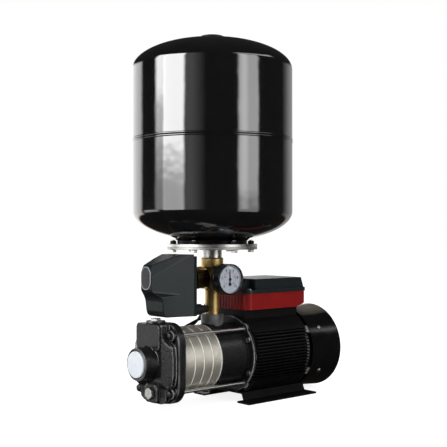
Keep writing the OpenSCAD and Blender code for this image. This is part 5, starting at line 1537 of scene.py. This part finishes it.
@dataclass
class StageStack:
    """Stainless stage chambers and the rods that clamp them.

    Attributes:
        front_edge: Distances inside the skin and behind a chamber's front, on its rolled edge.
        back_edge: Distances inside the skin and before a chamber's back.
        bead: Distances outside the skin and from the joint, on the rolled bead, whose pale finish paints its
            highlight.
    """

    first_x: float = -195.0
    length: float = 18.25
    count: int = 4
    axis_z: float = 75.0
    radius: float = 52.5
    wall: float = 1.5
    disc_t: float = 2.0
    hole_r: float = 20.0
    front_edge: tuple[Point, ...] = ((0.8, 0), (0.35, 0.12), (0, 0.5), (0, 1.1), (0.25, 1.5), (0.32, 2.2))
    back_edge: tuple[Point, ...] = ((0.32, 1.0), (0.75, 0.25), (0.9, 0))
    bead: tuple[Point, ...] = ((-0.5, -0.6), (0.15, -0.5), (0.4, 0), (0.15, 0.5), (-0.5, 0.6))
    segments: int = 160
    rod_span: Point = (77.0, 89.0)
    rod_r: float = 3.0
    rod_ease: float = 0.5
    rod_lap: float = 1.0
    rod_head_x: float = -216.0
    rod_end_x: float = -47.0
    flats: float = 10.0
    head_h: float = 5.0

    def chambers(self) -> None:
        """Turns each chamber with its rolled edges."""
        matrix = along_x(0, self.axis_z)
        hole, inner, outer = self.hole_r, self.radius - self.wall, self.radius
        for k in range(self.count):
            front = self.first_x + k * self.length
            back = front + self.length
            outline = [(hole, front)]
            outline += [(outer - inset, front + run) for inset, run in self.front_edge]
            outline += [(outer - inset, back - run) for inset, run in self.back_edge]
            outline += [(inner, back), (inner, front + self.disc_t), (hole, front + self.disc_t)]
            name = f"chamber_{k + 1}"
            settled(lathe(name + "_form", outline, matrix, Palette.stage, self.segments), "stainless", name)

    def beads(self) -> None:
        """Repeats the rolled edge at the chambers' joints, in a pale finish that paints its highlight."""
        work = bmesh.new()
        add_turned(work, [(self.radius + out, run) for out, run in self.bead], self.segments, ring=True)
        matrix = along_x(self.first_x, self.axis_z)
        pattern = Pattern("chamber_beads", Layout.LINE, work, Palette.bead)
        settled(pattern.build(self.count, (0, 0, self.length), (0, 0, self.length), matrix), "stainless")

    def row(self, name: str, work: Work, finish: Finish) -> Piece:
        """Repeats one rod's piece at the four corners.

        Args:
            name: Name of the result.
            work: The piece about the rod's axis, outwards from the pump's front.
            finish: Its finish.

        Returns:
            The four pieces as one mesh.
        """
        matrix = along_x(self.rod_head_x, self.axis_z, -1)
        return Pattern(name, Layout.GRID, work, finish).build(4, (*self.rod_span, 0), (0, 0, 0), matrix)

    def rods(self) -> None:
        """Repeats the tie rods and their darker heads."""
        work = bmesh.new()
        end, r, soft = self.rod_head_x - self.rod_end_x, self.rod_r, self.rod_ease
        add_turned(work, [(0, end), (r - soft, end), (r, end + soft), (r, self.rod_lap), (0, self.rod_lap)])
        settled(self.row("tie_rod_set", work, Palette.rod), "stainless", "tie_rods")
        work = bmesh.new()
        add_hexagon(work, self.flats, self.head_h)
        settled(self.row("tie_rod_heads", work, Palette.dark_zinc), "stainless")

    def build(self) -> None:
        """Builds the chambers and rods."""
        self.chambers()
        self.beads()
        self.rods()


@dataclass
class PumpEnds:
    """Cast inlet and discharge parts with the plugs."""

    voxel: float = 1.1
    inlet_rounds: int = 5
    discharge_rounds: int = 3
    flange_rounds: int = 2
    plug_ease: float = 0.6
    axis_z: float = 75.0
    cap_x: float = -250.6
    cap_r: float = 20.5
    cap_t: float = 5.0
    cap_foot: Point = (0.4, 0.5)
    cap_round: float = 1.6
    cap_round_h: float = 1.5
    cap_turns: tuple[int, int, int] = (15, 91, 15)
    cap_shoulder: float = 2.0
    cap_dome: float = 0.48
    cap_steps: int = 6
    cap_segments: int = 96

    def cap(self) -> None:
        """Turns the domed port cap."""
        r, steps, shoulder = self.cap_r, self.cap_steps, self.cap_t - self.cap_shoulder
        round_r, round_h = self.cap_round, self.cap_round_h
        flat, turns = r - round_r, [math.radians(degrees) for degrees in range(*self.cap_turns)]
        outline = [(0, 0), (r - self.cap_foot[0], 0), (r, self.cap_foot[1]), (r, shoulder)]
        outline += [(flat + round_r * math.cos(a), shoulder + round_h * math.sin(a)) for a in turns]
        for share in (k / steps for k in range(1, steps + 1)):
            rise = round_h + self.cap_dome * math.sin(math.pi / 2 * share)
            outline.append((flat * (1 - share), shoulder + rise))
        matrix = along_x(self.cap_x, self.axis_z, -1)
        form = lathe("inlet_cap_form", outline, matrix, Palette.white, self.cap_segments)
        settled(form, "white_plastic", "inlet_cap", body="port_cap")

    def build(self) -> None:
        """Softens the castings, turns the cap and rounds the plugs."""
        cast("inlet_part", "cast_iron", Palette.cast, self.voxel, self.inlet_rounds)
        cast("discharge_part", "cast_iron", Palette.cast, self.voxel, self.discharge_rounds)
        cast("motor_flange", "cast_iron", Palette.flange, self.voxel, self.flange_rounds)
        self.cap()
        eased("priming_plug", "stainless", Palette.upright_steel, self.plug_ease, body="priming_plug")
        eased("drain_plug", "plated_steel", Palette.zinc, self.plug_ease, body="drain_plug")


@dataclass
class Motor:
    """Ribbed frame, fan cover and sheet foot."""

    axis_z: float = 75.0
    cover_r: float = 71.0
    screw_x: float = 97.0
    screw_deg: float = 32.0
    screw: DomedScrew = DomedScrew(height=2.4, shank_l=9.0, recess_top=2.352, recess_low=1.44)
    edge: float = 0.5
    soft_edge: float = 0.6

    def screws(self) -> None:
        """Repeats a pair of domed cover screws on both sides."""
        work = bmesh.new()
        lie = Matrix.Translation((self.cover_r, 0, 0)) @ Matrix.Rotation(math.pi / 2, 4, "Y")
        for degrees in (self.screw_deg, 180 - self.screw_deg):
            one = bmesh.new()
            self.screw.add(one)
            turn = Matrix.Rotation(math.radians(degrees), 4, "Z")
            bmesh.ops.transform(one, matrix=turn @ lie, verts=one.verts)
            work.from_mesh(mesh_of("screw", one))
        matrix = along_x(self.screw_x, self.axis_z)
        pattern = Pattern("cover_screw_set", Layout.RING, work, Palette.zinc)
        settled(pattern.build(2, (0, 0, math.pi), (0, 0, 0), matrix), "zinc_screws", "fan_cover_screws")

    def build(self) -> None:
        """Rounds the frame, the cover and the foot, and adds the screws."""
        eased("motor_housing", "motor_paint", Palette.motor, self.edge, angle=50)
        eased("fan_cover", "black_paint", Palette.cover, self.soft_edge, angle=40, flat=0.5)
        eased("rear_shield", "cast_iron", Palette.cast, self.soft_edge, angle=40, flat=0.5)
        eased("base_plate", "black_paint", Palette.sheet, self.edge)
        self.screws()


@dataclass
class PressureSwitch:
    """Plastic cover and base of the pressure switch.

    Attributes:
        front_low: Shares of the cover's length and height on its stepped front, below the step.
        front_high: The same above the step.
        ledge_z: Share of the height at the top of the lower block, which stands out at the sides.
        ledge_gap: Share of the height between that block and the slim part above it.
        ledge_foot: Share of its standing out at the foot.
        ledge_reach: Share of the ledge's length past which the side's crease moves back with the front.
        chamfer_nose: Share of the height where the sloped upper edge meets the nose.
        chamfer_base: Share of the height where it meets the base.
    """

    nose_x: float = -234.0
    length: float = 70.0
    low: float = 146.0
    height: float = 98.0
    nose_half: float = 13.5
    base_half: float = 33.0
    wall: float = 2.4
    ledge_l: float = 46.0
    ledge_out: float = 8.5
    ledge_z: float = 0.34
    ledge_gap: float = 0.02
    ledge_foot: float = 0.65
    ledge_reach: float = 0.6
    chamfer_nose: float = 0.64
    chamfer_base: float = 1.03
    chamfer_deg: float = 12.0
    front_low: tuple[Point, ...] = (
        (0.34, 0.0), (0.275, 0.035), (0.242, 0.09), (0.232, 0.16), (0.22, 0.26), (0.19, 0.32),
    )
    front_high: tuple[Point, ...] = (
        (0.02, 0.415), (0.0, 0.45), (0.0, 0.775), (0.05, 0.835), (0.4, 0.93), (0.72, 1.0),
    )
    cover_ease: float = 1.6
    edge_deg: float = 12.0
    edge_steps: int = 3
    flat_deg: float = 1.0
    touch: float = 0.01
    base_ease: float = 0.6
    nose_mid: float = 207.4
    nose_half_w: float = 12.4
    nose_half_h: float = 18.2
    nose_deep: float = 4.0
    nose_steps: int = 16
    rim_w: float = 1.4
    rim_t: float = 0.6
    plate_t: float = 0.2
    disc_r: float = 7.6
    disc_t: float = 0.5
    disc_ease: float = 0.2
    disc_root: float = 1.0
    disc_segments: int = 48
    lap: float = 0.2

    def half_at(self, x: float, ledge: float) -> float:
        """Half width of the cover at a distance from the nose, with a ledge that tapers off."""
        flat = self.nose_half + (self.base_half - self.nose_half) * x / self.length
        return flat + ledge * max(0.0, 1 - x / self.ledge_l)

    def outline(self, work: Work, share: Point, ledge: float, side_z: float) -> Ring:
        """Adds one outline of the cover at a height.

        Args:
            work: The mesh to add to.
            share: Share of the length and height at the front.
            ledge: Distance by which the side stands out at the nose.
            side_z: Share of the height at the side's middle and at the base.

        Returns:
            Its vertices.
        """
        front, middle = share[0] * self.length, self.ledge_l
        if front > self.ledge_reach * self.ledge_l:
            middle = max(middle, (front + self.length) / 2)
        near = [(front, share[1]), (middle, side_z), (self.length, side_z)]
        side = [(self.nose_x + x, self.half_at(x, ledge), self.low + z * self.height) for x, z in near]
        return ring_of(work, side + [(x, -y, z) for x, y, z in reversed(side)])

    def outlines(self, work: Work) -> list[Ring]:
        """Adds the cover's outlines from the foot up.

        Args:
            work: The mesh to add to.

        Returns:
            Their vertices.
        """
        rings = []
        for share in self.front_low[:-1]:
            grown = self.ledge_foot + (1 - self.ledge_foot) * share[1] / self.ledge_z
            rings.append(self.outline(work, share, self.ledge_out * grown, share[1]))
        rings.append(self.outline(work, self.front_low[-1], self.ledge_out, self.ledge_z))
        rings.append(self.outline(work, self.front_high[0], 0.0, self.ledge_z + self.ledge_gap))
        return rings + [self.outline(work, share, 0.0, share[1]) for share in self.front_high[1:]]

    def chamfer(self, work: Work, side: int) -> None:
        """Cuts the sloped upper edge of one side, wide at the nose and narrow at the base.

        Args:
            work: The cover.
            side: 1 for the side towards +Y, -1 for the other.
        """
        start = Vector((self.nose_x, side * self.nose_half, self.low + self.chamfer_nose * self.height))
        base_z = self.low + self.chamfer_base * self.height
        end = Vector((self.nose_x + self.length, side * self.base_half, base_z))
        lean = math.radians(self.chamfer_deg)
        out = (end - start).cross(Vector((0, -side * math.sin(lean), math.cos(lean)))) * -side
        every = [*work.verts, *work.edges, *work.faces]
        up = out.z > 0
        cut = bmesh.ops.bisect_plane(
            work, geom=every, plane_co=start, plane_no=out, clear_outer=up, clear_inner=not up
        )
        edges = [part for part in cut["geom_cut"] if isinstance(part, bmesh.types.BMEdge)]
        bmesh.ops.edgeloop_fill(work, edges=edges)

    def cover(self) -> None:
        """Builds the hollow cover with its ledge and sloped upper edges, open at the base."""
        work = bmesh.new()
        capped(work, self.outlines(work))
        bmesh.ops.recalc_face_normals(work, faces=work.faces)
        for side in (-1, 1):
            self.chamfer(work, side)
        bmesh.ops.recalc_face_normals(work, faces=work.faces)
        flat = math.radians(self.flat_deg)
        bmesh.ops.dissolve_limit(work, angle_limit=flat, verts=work.verts, edges=work.edges)
        back = self.nose_x + self.length - self.touch
        base = [face for face in work.faces if all(vert.co.x > back for vert in face.verts)]
        bmesh.ops.delete(work, geom=base, context="FACES")
        piece = linked("switch_cover_shell", mesh_of("switch_cover_shell", cleaned(work)))
        piece.data.transform(Matrix.Scale(MM, 4))
        ease, steps = self.cover_ease, self.edge_steps
        form = rounded(piece, "switch_cover_form", ease, Palette.switch, steps, self.edge_deg, self.wall)
        settled(form, "dark_plastic", "switch_cover")

    def stadium(self, work: Work, inset: float, height: float) -> Ring:
        """Adds the nose's rounded outline.

        Args:
            work: The mesh to add to.
            inset: Distance inside the outer edge.
            height: Height over the nose's face.

        Returns:
            Its vertices.
        """
        radius, rise = self.nose_half_w - inset, self.nose_half_h - self.nose_half_w
        turns = [math.pi * k / self.nose_steps for k in range(self.nose_steps + 1)]
        ends = [(side * rise, turn + start) for side, start in ((1, 0.0), (-1, math.pi)) for turn in turns]
        points = [(radius * math.cos(a), shift + radius * math.sin(a), height) for shift, a in ends]
        return ring_of(work, points)

    def nose(self) -> None:
        """Adds the raised rim round the nose's face, and the plate and plain disc within it."""
        matrix = along_x(self.nose_x, self.nose_mid, -1)
        top, soft, width = self.rim_t, self.rim_t / 3, self.rim_w
        section = [(0.0, -self.nose_deep), (0.0, top - soft), (soft, top)]
        section += [(width - soft, top), (width, top - soft), (width, -self.nose_deep)]
        work = bmesh.new()
        rings = [self.stadium(work, inset, height) for inset, height in section]
        for low, high in zip(rings, rings[1:] + rings[:1]):
            bridge(work, low, high)
        settled(closed("switch_nose_rim", work, matrix, Palette.rim), "dark_plastic")
        work = bmesh.new()
        heights = (-self.nose_deep, self.plate_t)
        capped(work, [self.stadium(work, width - self.lap, height) for height in heights])
        r, t, root, soft = self.disc_r, self.disc_t, -self.disc_root, self.disc_ease
        disc = [(0, root), (r, root), (r, t - soft), (r - soft, t), (0, t)]
        add_turned(work, disc, self.disc_segments)
        settled(closed("switch_nose_plate", work, matrix, Palette.nose), "dark_plastic")

    def build(self) -> None:
        """Rounds the cover and the base and adds the nose's trim."""
        self.cover()
        eased("switch_base", "dark_plastic", Palette.switch, self.base_ease, angle=40, flat=0.5)
        self.nose()


@dataclass
class TerminalBox:
    """Red terminal box with its dark lid."""

    lid_ease: float = 1.2
    base_ease: float = 0.8
    screw_span: Point = (119.0, 76.0)
    screw_mid: Place = (10.5, 0.0, 183.0)
    screw: DomedScrew = DomedScrew()
    rib_r: float = 1.5
    rib_round: float = 0.9
    rib_tip: float = 1.05
    rib_tip_h: float = 0.1
    rib_count: int = 11
    rib_step: float = 7.4
    rib_foot: Place = (-60.6, -37.0, 151.5)
    rib_l: float = 24.0
    rib_segments: int = 16

    def ribs(self) -> None:
        """Repeats the upright ribs on the box's end."""
        work = bmesh.new()
        r, l, tip, flat = self.rib_r, self.rib_l, self.rib_tip, self.rib_tip_h
        foot = [(0, 0), (tip, flat), (r, self.rib_round)]
        add_turned(work, foot + [(r, l - self.rib_round), (tip, l - flat), (0, l)], self.rib_segments)
        pattern = Pattern("box_ribs", Layout.LINE, work, Palette.red)
        matrix = place(self.rib_foot)
        settled(pattern.build(self.rib_count, (0, self.rib_step, 0), (0, 0, 0), matrix), "red_plastic")

    def build(self) -> None:
        """Rounds the box and the lid and adds the ribs and the screws."""
        self.ribs()
        eased("terminal_box_lid", "dark_plastic", Palette.lid, self.lid_ease, steps=3, angle=24, flat=1.0)
        eased("terminal_box_base", "red_plastic", Palette.red, self.base_ease, angle=35, flat=1.0)
        work = bmesh.new()
        self.screw.add(work)
        pattern = Pattern("lid_screw_set", Layout.GRID, work, Palette.zinc)
        screws = pattern.build(4, (*self.screw_span, 0), (0, 0, 0), place(self.screw_mid))
        settled(screws, "zinc_screws", "lid_screws")


@dataclass
class Lead:
    """Cable from the pressure switch to the terminal box."""

    rounds: int = 2
    flat: float = 0.01

    def build(self) -> None:
        """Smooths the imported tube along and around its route."""
        piece = merged_copy("switch_lead", "switch_lead_smooth", self.flat)
        smooth = piece.modifiers.new("Smooth", "SUBSURF")
        smooth.levels = self.rounds
        mesh = evaluated(piece)
        bpy.data.objects.remove(piece)
        settled(finished("switch_lead_form", mesh, Palette.rubber, SOFT_DEG), "lead_rubber", "switch_lead")


def plain(bounds: object) -> object:
    """Args:
        bounds: The bounds, or a part of them.

    Returns:
        The same as dictionaries, lists and numbers.
    """
    if isinstance(bounds, dict):
        return {str(key): plain(value) for key, value in bounds.items()}
    if isinstance(bounds, (str, int, float, bool)) or bounds is None:
        return bounds
    return [plain(value) for value in bounds]


def main() -> None:
    """Builds the scene and works out the size of the solids and of the finished model."""
    logging.basicConfig(level=logging.INFO, format="%(name)s: %(message)s")
    packed = plain(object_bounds())
    dress_nodes()
    Studio().build()
    parts = (Tank, NeckFlange, Fitting, Gauge, StageStack, PumpEnds, Motor, PressureSwitch, TerminalBox, Lead)
    for part in parts:
        part().build()
        LOG.info("%s done", part.__name__)
    {"packed": packed, "finished": plain(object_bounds())}


if __name__ == "__main__":
    main()
